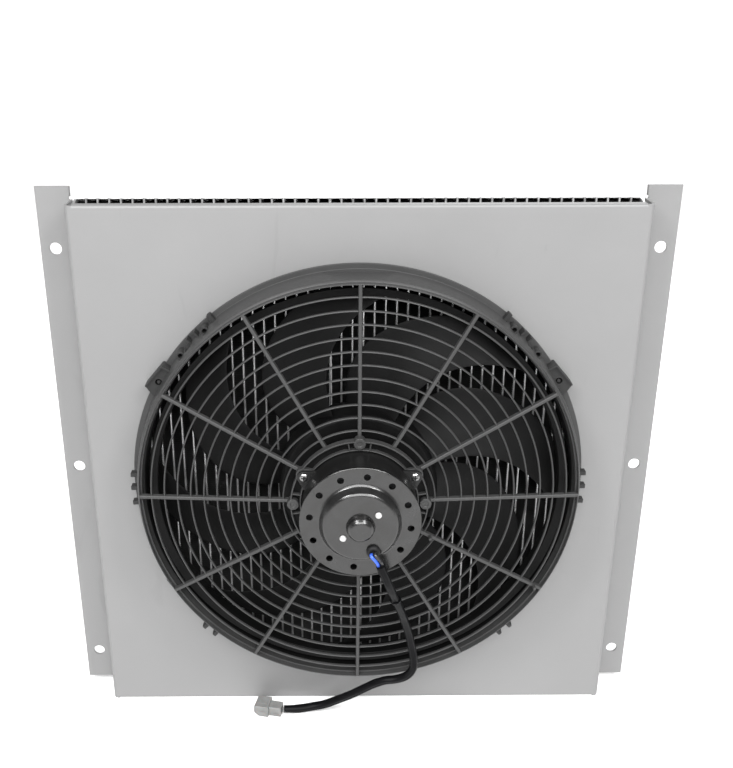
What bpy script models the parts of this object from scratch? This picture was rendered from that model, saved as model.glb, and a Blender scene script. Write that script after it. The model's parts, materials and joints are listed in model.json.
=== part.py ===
"""Engine radiator with a folded aluminium shroud and a fourteen inch electric fan.

Metres, +Z up, the fan side faces -Y. The part stands on the lower edge of its shroud panel.
Depths are measured from the front face of the shroud panel, positive towards the core.
"""
import bpy
import bmesh
from math import cos, radians, sin
from mathutils import Matrix, Vector

# Datum planes
FRONT_Y = -0.024            # world Y of the panel's front face
FAN_Z = 0.250               # height of the fan axis
GAP = 0.0003                # clearance between neighbouring pieces
WELD = 0.000002

# Folded shroud
SHEET = 0.0020
PANEL_W = 0.494
PANEL_H = 0.505
WALL_DEPTH = 0.030          # panel face to the back of the flanges
FLANGE_X = 0.2775           # half of the overall width
FLANGE_BOTTOM = 0.0065
FLANGE_TOP = 0.516
BEND = 0.0045               # outside radius of the folds
HEM_DEPTH = 0.013
FAN_OPENING_R = 0.1925
FLANGE_HOLE_R = 0.0054
FLANGE_HOLE_X = 0.2645
FLANGE_HOLE_Z = (0.0385, 0.250, 0.4615)
SIDE_SCREW_DEPTH = 0.021
SIDE_SCREW_Z = (0.090, 0.250, 0.420)
SCREW_HOLE_R = 0.0024

# Core
TUBES = 48
TUBE_PITCH = 0.010
TUBE_T = 0.0020
CORE_FRONT = WALL_DEPTH + 0.0006
CORE_BACK = CORE_FRONT + 0.032
CORE_BOTTOM = 0.0
CORE_TOP = 0.5050
CORE_SLOPE = 0.25           # fall of the core's top edge towards the back
BAR_T = 0.0012
FIN_RECESS = 0.0012
CHANNEL_T = 0.0020

# Tanks behind the core
HEADER_T = 0.0020
TANK_X = 0.232
TANK_BACK = 0.118
TANK_WALL = 0.0025
UPPER_TANK_Z = (0.398, 0.458)
LOWER_TANK_Z = (0.0, 0.060)
NECK_R = 0.019
NECK_BORE_R = 0.0165
NECK_END = 0.146
NECK_X = 0.165
FILLER_X = 0.120
FILLER_DEPTH = 0.0910
NIPPLE_RISE = 0.0054
DRAIN_X = -0.190
DRAIN_RISE = 0.020          # above the bottom of the lower tank
DRAIN_HOLE_R = 0.0048

# Fan housing and guard
HOUSING_R = 0.2060
THROAT_R = 0.1925
LIP_R = 0.1945              # inside of the flared front lip
HOUSING_DEPTH = 0.0300
EAR_R = 0.2030              # to the screw holes
EAR_ANGLES = (30, 150, 210, 330)
EAR_DEPTH = 0.0120
SOCKET_R = 0.2005
SOCKET_ANGLES = (39.6, 48.6, 131.4, 140.4)
RIB_ANGLES = (43.6, 46.2, 133.8, 136.4)
TAB_ANGLES = (51.4, 128.6)
LUG_ANGLES = (225.6, 229.0, 311.0, 314.4)
SIDE_LUG_ANGLES = (-4.0, 0.2, 3.9, 176.1, 179.8, 184.0)
RIM_R = 0.1973
RIM_T = 0.0028
FLAT_RISE = 0.1988          # height of the flat above the fan axis
RING_PITCH = 0.01181
RINGS = 11
SPOKES = 12
GUARD_FRONT = 0.0350        # forward of the panel, at the rim
GUARD_DISH = 0.0080         # extra height of the guard at its hub
HUB_RING_R = (0.0515, 0.0610)

# Rotor
ROTOR_R = 0.1872            # the ring's flared front edge
ROTOR_RING_R = (0.1820, 0.1842)
ROTOR_HUB_R = 0.0720
BLADES = 8
BLADE_ROOT_R = 0.0700
BLADE_TIP_R = 0.1830
BLADE_SPAN = 0.1080
BLADE_T = 0.0024

# Motor
CAN_R = 0.0505
CAP_R = 0.0523
CAP_FACE = 0.0820           # forward of the panel
CAP_SKIN = 0.0016
VENTS = 12
VENT_R = 0.0437             # to the middle of the vent holes
VENT_PHASE = 22.7
BOSS_FACE = 0.0900
BEARING_FACE = 0.0980
SHAFT_R = 0.0040
MOUNT_R = 0.0560
MOUNT_ANGLES = (30, 150, 270)
EAR_T = 0.0030              # thickness of the can's mounting ears
RIVET_XZ = ((0.0149, 0.0120), (-0.0149, -0.0100))
GROMMET_XZ = (0.0109, -0.0228)

# Cable, as points of (x, depth, z)
CABLE_R = 0.0043
WIRE_R = 0.0014
WIRE_OFFSET = 0.00175
CABLE_ROUTE = (
    (0.0168, -0.0980, 0.2175),
    (0.0223, -0.0940, 0.2010),
    (0.0269, -0.0880, 0.1868),
    (0.0319, -0.0800, 0.1711),
    (0.0370, -0.0710, 0.1543),
    (0.0414, -0.0625, 0.1376),
    (0.0464, -0.0545, 0.1175),
    (0.0500, -0.0500, 0.0996),
    (0.0525, -0.0482, 0.0848),
    (0.0529, -0.0468, 0.0737),
    (0.0500, -0.0450, 0.0650),
    (0.0442, -0.0430, 0.0584),
    (0.0357, -0.0412, 0.0542),
    (0.0264, -0.0400, 0.0522),
    (0.0169, -0.0380, 0.0470),
    (0.0074, -0.0355, 0.0397),
    (-0.0051, -0.0318, 0.0295),
    (-0.0179, -0.0266, 0.0190),
    (-0.0317, -0.0230, 0.0102),
    (-0.0458, -0.0218, 0.0058),
    (-0.0590, -0.0236, 0.0052),
    (-0.0726, -0.0248, 0.0058),
)
TIE_POINT = 3               # the route point that the band sits on

# Connector, drawn with the lead's end at its origin and its mouth towards -X
PLUG_AT = (-0.0742, -0.0252)
PLUG_TURN = -12.0
PLUG_L = 0.0270
PLUG_NECK_L = 0.0125
PLUG_W = 0.0170
PLUG_NECK_W = 0.0116
PLUG_H = 0.0128
PLUG_NECK_H = 0.0106
PLUG_CHAMFER = 0.0045
PIN_PITCH = 0.0084

# Colour, roughness and metallic value of each material
FINISHES = {
    "sheet_aluminium": ((0.52, 0.52, 0.53), 0.50, 0.85),
    "core_aluminium": ((0.62, 0.62, 0.63), 0.45, 0.9),
    "fin_aluminium": ((0.28, 0.28, 0.29), 0.55, 0.8),
    "tank_aluminium": ((0.60, 0.60, 0.61), 0.42, 0.9),
    "fan_plastic": ((0.075, 0.077, 0.080), 0.50, 0.0),
    "rotor_plastic": ((0.030, 0.031, 0.033), 0.55, 0.0),
    "motor_steel": ((0.10, 0.10, 0.105), 0.45, 0.6),
    "cap_steel": ((0.33, 0.33, 0.34), 0.35, 0.95),
    "bright_steel": ((0.75, 0.75, 0.76), 0.25, 1.0),
    "copper": ((0.70, 0.34, 0.18), 0.35, 1.0),
    "ferrite": ((0.06, 0.06, 0.065), 0.7, 0.0),
    "carbon": ((0.05, 0.05, 0.05), 0.8, 0.0),
    "rubber": ((0.02, 0.02, 0.02), 0.75, 0.0),
    "sleeve": ((0.10, 0.10, 0.105), 0.55, 0.0),
    "wire_blue": ((0.05, 0.14, 0.45), 0.45, 0.0),
    "wire_black": ((0.02, 0.02, 0.022), 0.45, 0.0),
    "nylon": ((0.62, 0.62, 0.58), 0.40, 0.0),
    "brass": ((0.72, 0.52, 0.22), 0.35, 1.0),
}


# ---------------------------------------------------------------- helpers

def clear_scene():
    for obj in list(bpy.data.objects):
        bpy.data.objects.remove(obj, do_unlink=True)


def make_collection(name):
    collection = bpy.data.collections.new(name)
    bpy.context.scene.collection.children.link(collection)
    return collection


def material(slot):
    found = bpy.data.materials.get(slot)
    if found:
        return found
    colour, roughness, metallic = FINISHES[slot]
    made = bpy.data.materials.new(slot)
    made.use_nodes = True
    shader = made.node_tree.nodes["Principled BSDF"]
    shader.inputs["Base Color"].default_value = (*colour, 1.0)
    shader.inputs["Roughness"].default_value = roughness
    shader.inputs["Metallic"].default_value = metallic
    return made


def new_object(name, mesh, slot=None):
    """A mesh object in the parts collection, or among the cutters when it has no material."""
    obj = bpy.data.objects.new(name, mesh)
    if slot:
        mesh.materials.clear()
        mesh.materials.append(material(slot))
        PARTS.objects.link(obj)
    else:
        obj.hide_render = True
        obj.display_type = "WIRE"
        CUTTERS.objects.link(obj)
    return obj


def place(x, depth, z):
    return Vector((x, FRONT_Y + depth, z))


def bake(obj, slot=None):
    """Replace an object's mesh or curve with its evaluated, welded and outward facing mesh."""
    bpy.context.view_layer.update()
    graph = bpy.context.evaluated_depsgraph_get()
    mesh = bpy.data.meshes.new_from_object(obj.evaluated_get(graph))
    work = bmesh.new()
    work.from_mesh(mesh)
    bmesh.ops.remove_doubles(work, verts=work.verts, dist=WELD)
    bmesh.ops.dissolve_degenerate(work, edges=work.edges, dist=WELD)
    bmesh.ops.recalc_face_normals(work, faces=work.faces)
    work.to_mesh(mesh)
    work.free()
    name, matrix = obj.name, obj.matrix_world.copy()
    bpy.data.objects.remove(obj, do_unlink=True)
    made = new_object(name, mesh, slot)
    made.matrix_world = matrix
    return made


def box(name, low, high, slot=None, bevel=0.0, segments=2):
    """A box between two (x, depth, z) corners, with all its edges rounded by bevel."""
    low, high = place(*low), place(*high)
    mesh = bpy.data.meshes.new(name)
    work = bmesh.new()
    bmesh.ops.create_cube(work, size=1.0)
    work.to_mesh(mesh)
    work.free()
    size = high - low
    mesh.transform(Matrix.Diagonal((*size, 1.0)))
    obj = new_object(name, mesh, slot)
    obj.location = (low + high) / 2
    if bevel:
        edge = obj.modifiers.new("rounded", "BEVEL")
        edge.width = bevel
        edge.segments = segments
    return obj


def cylinder(name, centre, axis, radius, length, slot=None, sides=16):
    """A cylinder about (x, depth, z), along the world direction axis."""
    mesh = bpy.data.meshes.new(name)
    work = bmesh.new()
    bmesh.ops.create_cone(work, cap_ends=True, segments=sides, radius1=radius, radius2=radius,
                          depth=length)
    work.to_mesh(mesh)
    work.free()
    turn = Vector(axis).to_track_quat("Z", "Y").to_matrix().to_4x4()
    obj = new_object(name, mesh, slot)
    obj.matrix_world = Matrix.Translation(place(*centre)) @ turn
    round_smooth(obj)
    return obj


def turned(name, profile, centre, axis="Y", slot=None, steps=48, closed=True):
    """Turn a profile of (radius, height) points about an axis through (x, depth, z).

    Heights run along +X, +Y or +Z. A closed profile makes a ring. An open one starts and
    ends on the axis.
    """
    points = {"X": lambda r, h: (h, r, 0.0), "Y": lambda r, h: (r, h, 0.0),
              "Z": lambda r, h: (r, 0.0, h)}
    mesh = bpy.data.meshes.new(name)
    edges = [(i, i + 1) for i in range(len(profile) - 1)]
    if closed:
        edges.append((len(profile) - 1, 0))
    mesh.from_pydata([points[axis](r, h) for r, h in profile], edges, [])
    obj = new_object(name, mesh, slot)
    obj.location = place(*centre)
    spin = obj.modifiers.new("turned", "SCREW")
    spin.axis = axis
    spin.steps = steps
    spin.render_steps = steps
    spin.use_merge_vertices = True
    spin.merge_threshold = 0.00001
    spin.use_normal_calculate = True
    made = bake(obj, slot)
    round_smooth(made)
    return made


def extruded(name, outline, low, high, slot=None, axis="Z"):
    """A closed flat outline, extruded from low to high along world X, depth or Z.

    The outline is (x, depth) for Z, (x, z) for Y and (depth, z) for X.
    """
    curve = bpy.data.curves.new(name, "CURVE")
    curve.dimensions = "2D"
    curve.fill_mode = "BOTH"
    curve.extrude = (high - low) / 2
    line = curve.splines.new("POLY")
    line.points.add(len(outline) - 1)
    for point, (a, b) in zip(line.points, outline):
        point.co = (a, b, 0.0, 1.0)
    line.use_cyclic_u = True
    obj = bpy.data.objects.new(name, curve)
    CUTTERS.objects.link(obj)
    middle = (low + high) / 2
    frames = {
        "Z": Matrix.Translation((0, FRONT_Y, middle)),
        "Y": Matrix(((1, 0, 0, 0), (0, 0, -1, FRONT_Y + middle), (0, 1, 0, 0), (0, 0, 0, 1))),
        "X": Matrix(((0, 0, 1, middle), (1, 0, 0, FRONT_Y), (0, 1, 0, 0), (0, 0, 0, 1))),
    }
    obj.matrix_world = frames[axis]
    return bake(obj, slot)


def wire(name, points, radius, slot, sides=2):
    """A round wire through (x, depth, z) points, sampled from a smooth curve, with flat ends."""
    curve = bpy.data.curves.new(name, "CURVE")
    curve.dimensions = "3D"
    curve.bevel_depth = radius
    curve.bevel_resolution = sides
    curve.use_fill_caps = True
    line = curve.splines.new("POLY")
    line.points.add(len(points) - 1)
    for point, spot in zip(line.points, points):
        point.co = (*place(*spot), 1.0)
    obj = bpy.data.objects.new(name, curve)
    CUTTERS.objects.link(obj)
    made = bake(obj, slot)
    round_smooth(made)


def smooth_route(points, spacing):
    """Points every spacing metres along a Catmull-Rom curve through the given points."""
    spots = [Vector(p) for p in points]
    spots = [2 * spots[0] - spots[1], *spots, 2 * spots[-1] - spots[-2]]
    fine = []
    for a, b, c, d in zip(spots, spots[1:], spots[2:], spots[3:]):
        for step in range(20):
            t = step / 20
            fine.append(0.5 * (2 * b + (c - a) * t + (2 * a - 5 * b + 4 * c - d) * t ** 2
                               + (3 * b - a - 3 * c + d) * t ** 3))
    fine.append(spots[-2])
    total = sum((b - a).length for a, b in zip(fine, fine[1:]))
    count = max(2, round(total / spacing))
    route, walked, target = [fine[0]], 0.0, total / count
    for a, b in zip(fine, fine[1:]):
        walked += (b - a).length
        while walked >= target and len(route) < count:
            route.append(b + (a - b) * ((walked - target) / (b - a).length))
            target += total / count
    route.append(fine[-1])
    return route


def cut(obj, *cutters, operation="DIFFERENCE"):
    for number, cutter in enumerate(cutters):
        step = obj.modifiers.new(f"{operation.lower()}_{number}", "BOOLEAN")
        step.operation = operation
        step.object = cutter
        step.solver = "EXACT"
    return obj


def joined(name, pieces):
    """One mesh of several separate shapes, for a single Boolean operand."""
    bpy.context.view_layer.update()
    graph = bpy.context.evaluated_depsgraph_get()
    work = bmesh.new()
    for piece in pieces:
        mesh = bpy.data.meshes.new_from_object(piece.evaluated_get(graph))
        mesh.transform(piece.matrix_world)
        work.from_mesh(mesh)
        bpy.data.meshes.remove(mesh)
        bpy.data.objects.remove(piece, do_unlink=True)
    mesh = bpy.data.meshes.new(name)
    work.to_mesh(mesh)
    work.free()
    return new_object(name, mesh)


def arc(centre, radius, start, end, count):
    """Points (a, b) on an arc, angles in degrees."""
    angles = [radians(start + (end - start) * i / (count - 1)) for i in range(count)]
    return [(centre[0] + radius * cos(t), centre[1] + radius * sin(t)) for t in angles]


def round_smooth(obj, angle=35):
    obj.data.shade_smooth()
    obj.data.set_sharp_from_angle(angle=radians(angle))


# ---------------------------------------------------------------- shroud

def shroud_outline():
    """Hat section seen from above, as one closed outline of (x, depth)."""
    outer, inner = PANEL_W / 2, PANEL_W / 2 - SHEET
    small = BEND - SHEET
    half = []
    half += [(FLANGE_X, WALL_DEPTH), (FLANGE_X, WALL_DEPTH - SHEET)]
    half += arc((outer + small, WALL_DEPTH - BEND), small, 90, 180, 4)
    half += arc((outer - BEND, BEND), BEND, 0, -90, 5)
    back = arc((inner - small, BEND), small, -90, 0, 4)
    back += arc((outer + small, WALL_DEPTH - BEND), BEND, 180, 90, 5)
    left = [(-x, y) for x, y in reversed(half)]
    left_back = [(-x, y) for x, y in reversed(back)]
    return half + left + left_back + back


def shroud_panel():
    shell = extruded("shroud_panel", shroud_outline(), 0.0, FLANGE_TOP, "sheet_aluminium")
    inside, far = PANEL_W / 2 + 0.0002, 0.4
    above = box("cut_above_panel", (-inside, -0.01, PANEL_H), (inside, WALL_DEPTH + 0.01, 0.6))
    opening = cylinder("cut_fan_opening", (0, 0, FAN_Z), (0, 1, 0), FAN_OPENING_R, 0.03, sides=60)
    below, small = [], []
    for side in (-1, 1):
        low, high = sorted((side * inside, side * far))
        below.append(box(f"cut_below_flange_{side}", (low, -0.01, -0.05),
                         (high, WALL_DEPTH + 0.01, FLANGE_BOTTOM)))
        relief = (side * (PANEL_W / 2 + 0.0005), WALL_DEPTH, PANEL_H + 0.0008)
        small.append(cylinder(f"cut_relief_{side}", relief, (0, 1, 0), 0.0016, 0.02, sides=8))
        for n, z in enumerate(FLANGE_HOLE_Z):
            small.append(cylinder(f"cut_flange_hole_{side}_{n}", (side * FLANGE_HOLE_X, WALL_DEPTH, z),
                                  (0, 1, 0), FLANGE_HOLE_R, 0.02, sides=16))
        for n, z in enumerate(SIDE_SCREW_Z):
            small.append(cylinder(f"cut_screw_{side}_{n}", (side * PANEL_W / 2, SIDE_SCREW_DEPTH, z),
                                  (1, 0, 0), SCREW_HOLE_R, 0.02, sides=8))
    for n, (x, z) in enumerate(ear_centres()):
        small.append(cylinder(f"cut_mount_{n}", (x, 0, z), (0, 1, 0), SCREW_HOLE_R, 0.02, sides=8))
    hems = []
    for name, edge, inward in (("top", PANEL_H, -1), ("bottom", 0.0, 1)):
        half = PANEL_W / 2 - BEND - 0.0015
        low_z, high_z = sorted((edge, edge + inward * SHEET))
        hems.append(box(f"add_hem_{name}", (-half, 0.0002, low_z), (half, HEM_DEPTH, high_z)))
    cut(shell, *hems, operation="UNION")
    cut(shell, above, *below, opening, joined("cut_small_holes", small))


def side_channels():
    """Flat side plates that hold the core inside the shroud's walls."""
    outer = PANEL_W / 2 - SHEET - GAP
    slope_drop = (CORE_BACK - CORE_FRONT) * CORE_SLOPE
    outline = [(HEM_DEPTH + 0.002, 0.0), (CORE_BACK, 0.0), (CORE_BACK, CORE_TOP - slope_drop),
               (CORE_FRONT, CORE_TOP - 0.0005), (HEM_DEPTH + 0.002, CORE_TOP - 0.0035)]
    for name, side in (("left", -1), ("right", 1)):
        low, high = sorted((side * outer, side * (outer - CHANNEL_T)))
        plate = extruded(f"side_channel_{name}", outline, low, high, "core_aluminium", axis="X")
        holes = [cylinder(f"cut_channel_{name}_{n}", (side * outer, SIDE_SCREW_DEPTH, z), (1, 0, 0),
                          SCREW_HOLE_R, 0.02, sides=8) for n, z in enumerate(SIDE_SCREW_Z)]
        cut(plate, joined(f"cut_channel_holes_{name}", holes))
        for n, z in enumerate(SIDE_SCREW_Z):
            face = side * (PANEL_W / 2 + GAP)
            profile = [(0.0, 0.0026), (0.0030, 0.0022), (0.0042, 0.0010), (0.0042, 0.0), (0.0021, 0.0),
                       (0.0021, -0.0070), (0.0, -0.0070)]
            profile = [(r, side * h) for r, h in profile]
            turned(f"side_screw_{name}_{n + 1}", profile, (face, SIDE_SCREW_DEPTH, z), "X",
                   "bright_steel", steps=8, closed=False)


# ---------------------------------------------------------------- core

def comb_outline(teeth, half_width, bar_edge, root, tip):
    """Outline in (x, z) of a bar from bar_edge to root, with (centre, width) teeth that end at tip."""
    points = [(-half_width, root), (-half_width, bar_edge), (half_width, bar_edge), (half_width, root)]
    for x, width in reversed(teeth):
        points += [(x + width / 2, root), (x + width / 2, tip)]
        points += [(x - width / 2, tip), (x - width / 2, root)]
    return points


def slope_top(obj):
    """Lower the upper points with depth, so the top edge falls towards the rear."""
    for vert in obj.data.vertices:
        world = obj.matrix_world @ vert.co
        if world.z > FAN_Z:
            world.z -= (world.y - FRONT_Y - CORE_FRONT) * CORE_SLOPE
            vert.co = obj.matrix_world.inverted() @ world


def core():
    """Tubes hang from an upper bar, and the fin strips stand on a lower one, like two combs."""
    half = PANEL_W / 2 - SHEET - GAP - CHANNEL_T - GAP
    tubes = [((n - (TUBES - 1) / 2) * TUBE_PITCH, TUBE_T) for n in range(TUBES)]
    fins = [((a + b) / 2, TUBE_PITCH - TUBE_T - 2 * GAP) for (a, _), (b, _) in zip(tubes, tubes[1:])]
    inner_edge = tubes[-1][0] + TUBE_T / 2 + GAP
    last = ((inner_edge + half) / 2, half - inner_edge - GAP)
    fins = [(-last[0], last[1]), *fins, last]
    low, high = CORE_BOTTOM + BAR_T, CORE_TOP - BAR_T
    bank = extruded("tube_bank", comb_outline(tubes, half, CORE_TOP, high, low + GAP),
                    CORE_FRONT, CORE_BACK, "core_aluminium", axis="Y")
    pack = extruded("fin_pack", comb_outline(fins, half, CORE_BOTTOM, low, high - GAP),
                    CORE_FRONT + FIN_RECESS, CORE_BACK, "fin_aluminium", axis="Y")
    slope_top(bank)
    slope_top(pack)


# ---------------------------------------------------------------- tanks and fittings

def tank(name, low_z, high_z, neck_x, extra_cutters):
    """A header plate against the core and an open-fronted tank shell behind it."""
    front = CORE_BACK + GAP
    neck_z = (low_z + high_z) / 2
    box(f"{name}_header", (-TANK_X, front, low_z), (TANK_X, front + HEADER_T, high_z), "tank_aluminium")
    shell_front = front + HEADER_T + GAP
    shell = box(f"{name}_tank", (-TANK_X, shell_front - 0.02, low_z), (TANK_X, TANK_BACK, high_z),
                "tank_aluminium", bevel=0.009, segments=3)
    face = box(f"cut_{name}_face", (-0.3, shell_front - 0.05, low_z - 0.02),
               (0.3, shell_front, high_z + 0.02))
    hollow = box(f"cut_{name}_hollow", (-TANK_X + TANK_WALL, shell_front - 0.03, low_z + TANK_WALL),
                 (TANK_X - TANK_WALL, TANK_BACK - TANK_WALL, high_z - TANK_WALL), bevel=0.007, segments=3)
    neck_hole = cylinder(f"cut_{name}_neck", (neck_x, TANK_BACK, neck_z), (0, 1, 0), NECK_BORE_R, 0.02,
                         sides=20)
    cut(shell, face, hollow, neck_hole, *extra_cutters)


def hose_neck(name, x, z):
    """A short pipe with a weld foot and a hose bead, pointing backwards."""
    start = TANK_BACK + GAP
    profile = [(NECK_BORE_R, start), (NECK_R + 0.003, start), (NECK_R + 0.003, start + 0.0015),
               (NECK_R, start + 0.003), (NECK_R, NECK_END - 0.010),
               (NECK_R + 0.0016, NECK_END - 0.0075), (NECK_R + 0.0016, NECK_END - 0.0055),
               (NECK_R, NECK_END - 0.003), (NECK_R - 0.0004, NECK_END), (NECK_BORE_R, NECK_END)]
    turned(name, profile, (x, 0, z), "Y", "tank_aluminium", steps=16)


def filler():
    """Filler neck with a side nipple, and a quarter-turn cap with its spring and valve."""
    top = UPPER_TANK_Z[1]
    here = (FILLER_X, FILLER_DEPTH, top)
    neck = turned("filler_neck", [(0.0150, GAP), (0.0185, GAP), (0.0185, 0.0016), (0.0170, 0.0028),
                                  (0.0170, 0.0110), (0.0235, 0.0110), (0.0235, 0.0128), (0.0150, 0.0128)],
                  here, "Z", "tank_aluminium", steps=20)
    cut(neck, cylinder("cut_nipple_hole", (FILLER_X - 0.016, FILLER_DEPTH, top + NIPPLE_RISE), (1, 0, 0),
                       0.0018, 0.010, sides=10))
    start = -(0.0170 + GAP)
    turned("overflow_nipple", [(0.0018, start), (0.0030, start), (0.0030, start - 0.016),
                               (0.0036, start - 0.018), (0.0028, start - 0.021), (0.0018, start - 0.021)],
           (FILLER_X, FILLER_DEPTH, top + NIPPLE_RISE), "X", "tank_aluminium", steps=12)
    cap = turned("cap_shell", [(0.0, 0.0145), (0.0100, 0.0145), (0.0100, 0.0131), (0.0238, 0.0131),
                               (0.0238, 0.0092), (0.0255, 0.0092), (0.0255, 0.0155), (0.0245, 0.0168),
                               (0.0130, 0.0168), (0.0110, 0.0195), (0.0, 0.0195)],
                 here, "Z", "bright_steel", steps=20, closed=False)
    ears = box("add_cap_ears", (FILLER_X - 0.0275, FILLER_DEPTH - 0.0060, top + 0.0146),
               (FILLER_X + 0.0275, FILLER_DEPTH + 0.0060, top + 0.0166), bevel=0.0010, segments=1)
    cut(cap, ears, operation="UNION")
    turned("cap_spring", [(0.0080, 0.0046), (0.0098, 0.0046), (0.0098, 0.0142), (0.0080, 0.0142)],
           here, "Z", "bright_steel", steps=12)
    turned("cap_valve", [(0.0, 0.0010), (0.0120, 0.0010), (0.0125, 0.0042), (0.0030, 0.0042),
                         (0.0030, 0.0110), (0.0, 0.0110)], here, "Z", "rubber", steps=12, closed=False)


def drain():
    """Wing screw with a sealing ring, in the back of the lower tank. Returns the cutter of its hole."""
    z = LOWER_TANK_Z[0] + DRAIN_RISE
    start = TANK_BACK + GAP
    turned("drain_seal", [(DRAIN_HOLE_R, start), (0.0085, start), (0.0085, start + 0.0018),
                          (DRAIN_HOLE_R, start + 0.0018)], (DRAIN_X, 0, z), "Y", "rubber", steps=16)
    base = start + 0.0018 + GAP
    screw = turned("drain_screw", [(0.0, start - 0.006), (0.0045, start - 0.006), (0.0045, base),
                                   (0.0090, base), (0.0090, base + 0.004), (0.0060, base + 0.005),
                                   (0.0, base + 0.005)],
                   (DRAIN_X, 0, z), "Y", "brass", steps=16, closed=False)
    wing = box("add_drain_wing", (DRAIN_X - 0.011, base + 0.003, z - 0.0014),
               (DRAIN_X + 0.011, base + 0.015, z + 0.0014), bevel=0.0012)
    cut(screw, wing, operation="UNION")
    return cylinder("cut_drain_hole", (DRAIN_X, TANK_BACK, z), (0, 1, 0), DRAIN_HOLE_R, 0.02, sides=16)


# ---------------------------------------------------------------- fan

def polar(radius, degrees):
    """(x, z) of a point about the fan axis, degrees counted from +X towards +Z."""
    return radius * cos(radians(degrees)), FAN_Z + radius * sin(radians(degrees))


def ear_centres():
    return [polar(EAR_R, angle) for angle in EAR_ANGLES]


def spun_box(name, radius_from, radius_to, width, front, back, degrees):
    """A box that points outwards from the fan axis at an angle."""
    mesh = bpy.data.meshes.new(name)
    work = bmesh.new()
    bmesh.ops.create_cube(work, size=1.0)
    work.to_mesh(mesh)
    work.free()
    mesh.transform(Matrix.Diagonal((radius_to - radius_from, back - front, width, 1.0)))
    mesh.transform(Matrix.Translation(((radius_from + radius_to) / 2, (front + back) / 2, 0.0)))
    obj = new_object(name, mesh)
    obj.matrix_world = Matrix.Translation(place(0, 0, FAN_Z)) @ Matrix.Rotation(-radians(degrees), 4, "Y")
    return obj


def ear(name, degrees):
    """Screw ear outside the barrel: a pointed one in the upper half, a low one in the lower half."""
    if degrees < 180:
        side = 1 if degrees > 90 else -1
        outline = [(0.1965, -4.8), (0.2085, -4.4), (0.2125, 2.4), (0.2050, 3.6), (0.1965, 4.4)]
    else:
        side = 1
        outline = [(0.1965, -2.6), (0.2065, -1.8), (0.2085, -0.8), (0.2085, 0.8), (0.2065, 1.8),
                   (0.1965, 2.6)]
    points = [polar(radius, degrees + side * turn) for radius, turn in outline]
    return extruded(name, points, -EAR_DEPTH, -2 * GAP, axis="Y")


def housing_extras():
    """Ears, screw sockets, ribs, tabs and lugs around the barrel."""
    extras = [ear(f"add_ear_{n}", angle) for n, angle in enumerate(EAR_ANGLES)]
    for n, angle in enumerate(SOCKET_ANGLES):
        x, z = polar(SOCKET_R, angle)
        extras.append(cylinder(f"add_socket_{n}", (x, -0.0100, z), (0, 1, 0), 0.0037, 0.0120, sides=12))
    for n, angle in enumerate(RIB_ANGLES):
        extras.append(spun_box(f"add_rib_{n}", 0.1960, 0.2060, 0.0016, -0.0140, -0.0038, angle))
    for n, angle in enumerate(TAB_ANGLES):
        extras.append(spun_box(f"add_tab_{n}", 0.1960, 0.2085, 0.0040, -0.0110, -0.0038, angle))
    for n, angle in enumerate(LUG_ANGLES):
        extras.append(spun_box(f"add_lug_{n}", 0.1960, 0.2120, 0.0042, -0.0200, -0.0120, angle))
    for n, angle in enumerate(SIDE_LUG_ANGLES):
        extras.append(spun_box(f"add_side_lug_{n}", 0.1960, 0.2066, 0.0040, -0.0190, -0.0120, angle))
    return extras


def fan_housing():
    """Moulded barrel with a flared lip, a base flange, a flat at the top, and its ears and lugs."""
    front = -HOUSING_DEPTH
    profile = [(THROAT_R, -GAP), (THROAT_R, -0.018), (LIP_R, front), (0.1975, front),
               (0.1990, front + 0.0015), (0.2025, -0.0042), (HOUSING_R, -0.0036), (HOUSING_R, -GAP)]
    barrel = turned("fan_housing", profile, (0, 0, FAN_Z), "Y", "fan_plastic", steps=48)
    for extra in housing_extras():
        cut(barrel, extra, operation="UNION")
    flat = box("cut_flat", (-0.1, -0.05, FAN_Z + FLAT_RISE), (0.1, -0.0042, FAN_Z + 0.23))
    holes = [cylinder(f"cut_ear_{n}", (x, -0.01, z), (0, 1, 0), 0.0025, 0.03, sides=12)
             for n, (x, z) in enumerate(ear_centres())]
    for n, angle in enumerate(SOCKET_ANGLES):
        x, z = polar(SOCKET_R, angle)
        holes.append(cylinder(f"cut_socket_{n}", (x, -0.0150, z), (0, 1, 0), 0.0020, 0.0140, sides=8))
    cut(barrel, flat, joined("cut_ear_holes", holes))


def fan_screws():
    seat = SHEET + GAP
    for n, (x, z) in enumerate(ear_centres()):
        profile = [(0.0, seat + 0.0026), (0.0034, seat + 0.0020), (0.0040, seat), (0.0020, seat),
                   (0.0020, -0.0110), (0.0, -0.0110)]
        turned(f"fan_screw_{n + 1}", profile, (x, 0, z), "Y", "bright_steel", steps=8, closed=False)


def guard_height(radius):
    """Depth of the guard's front at a radius: it rises evenly from the rim to the hub."""
    return -GUARD_FRONT - GUARD_DISH * (RIM_R - radius) / (RIM_R - HUB_RING_R[1])


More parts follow.
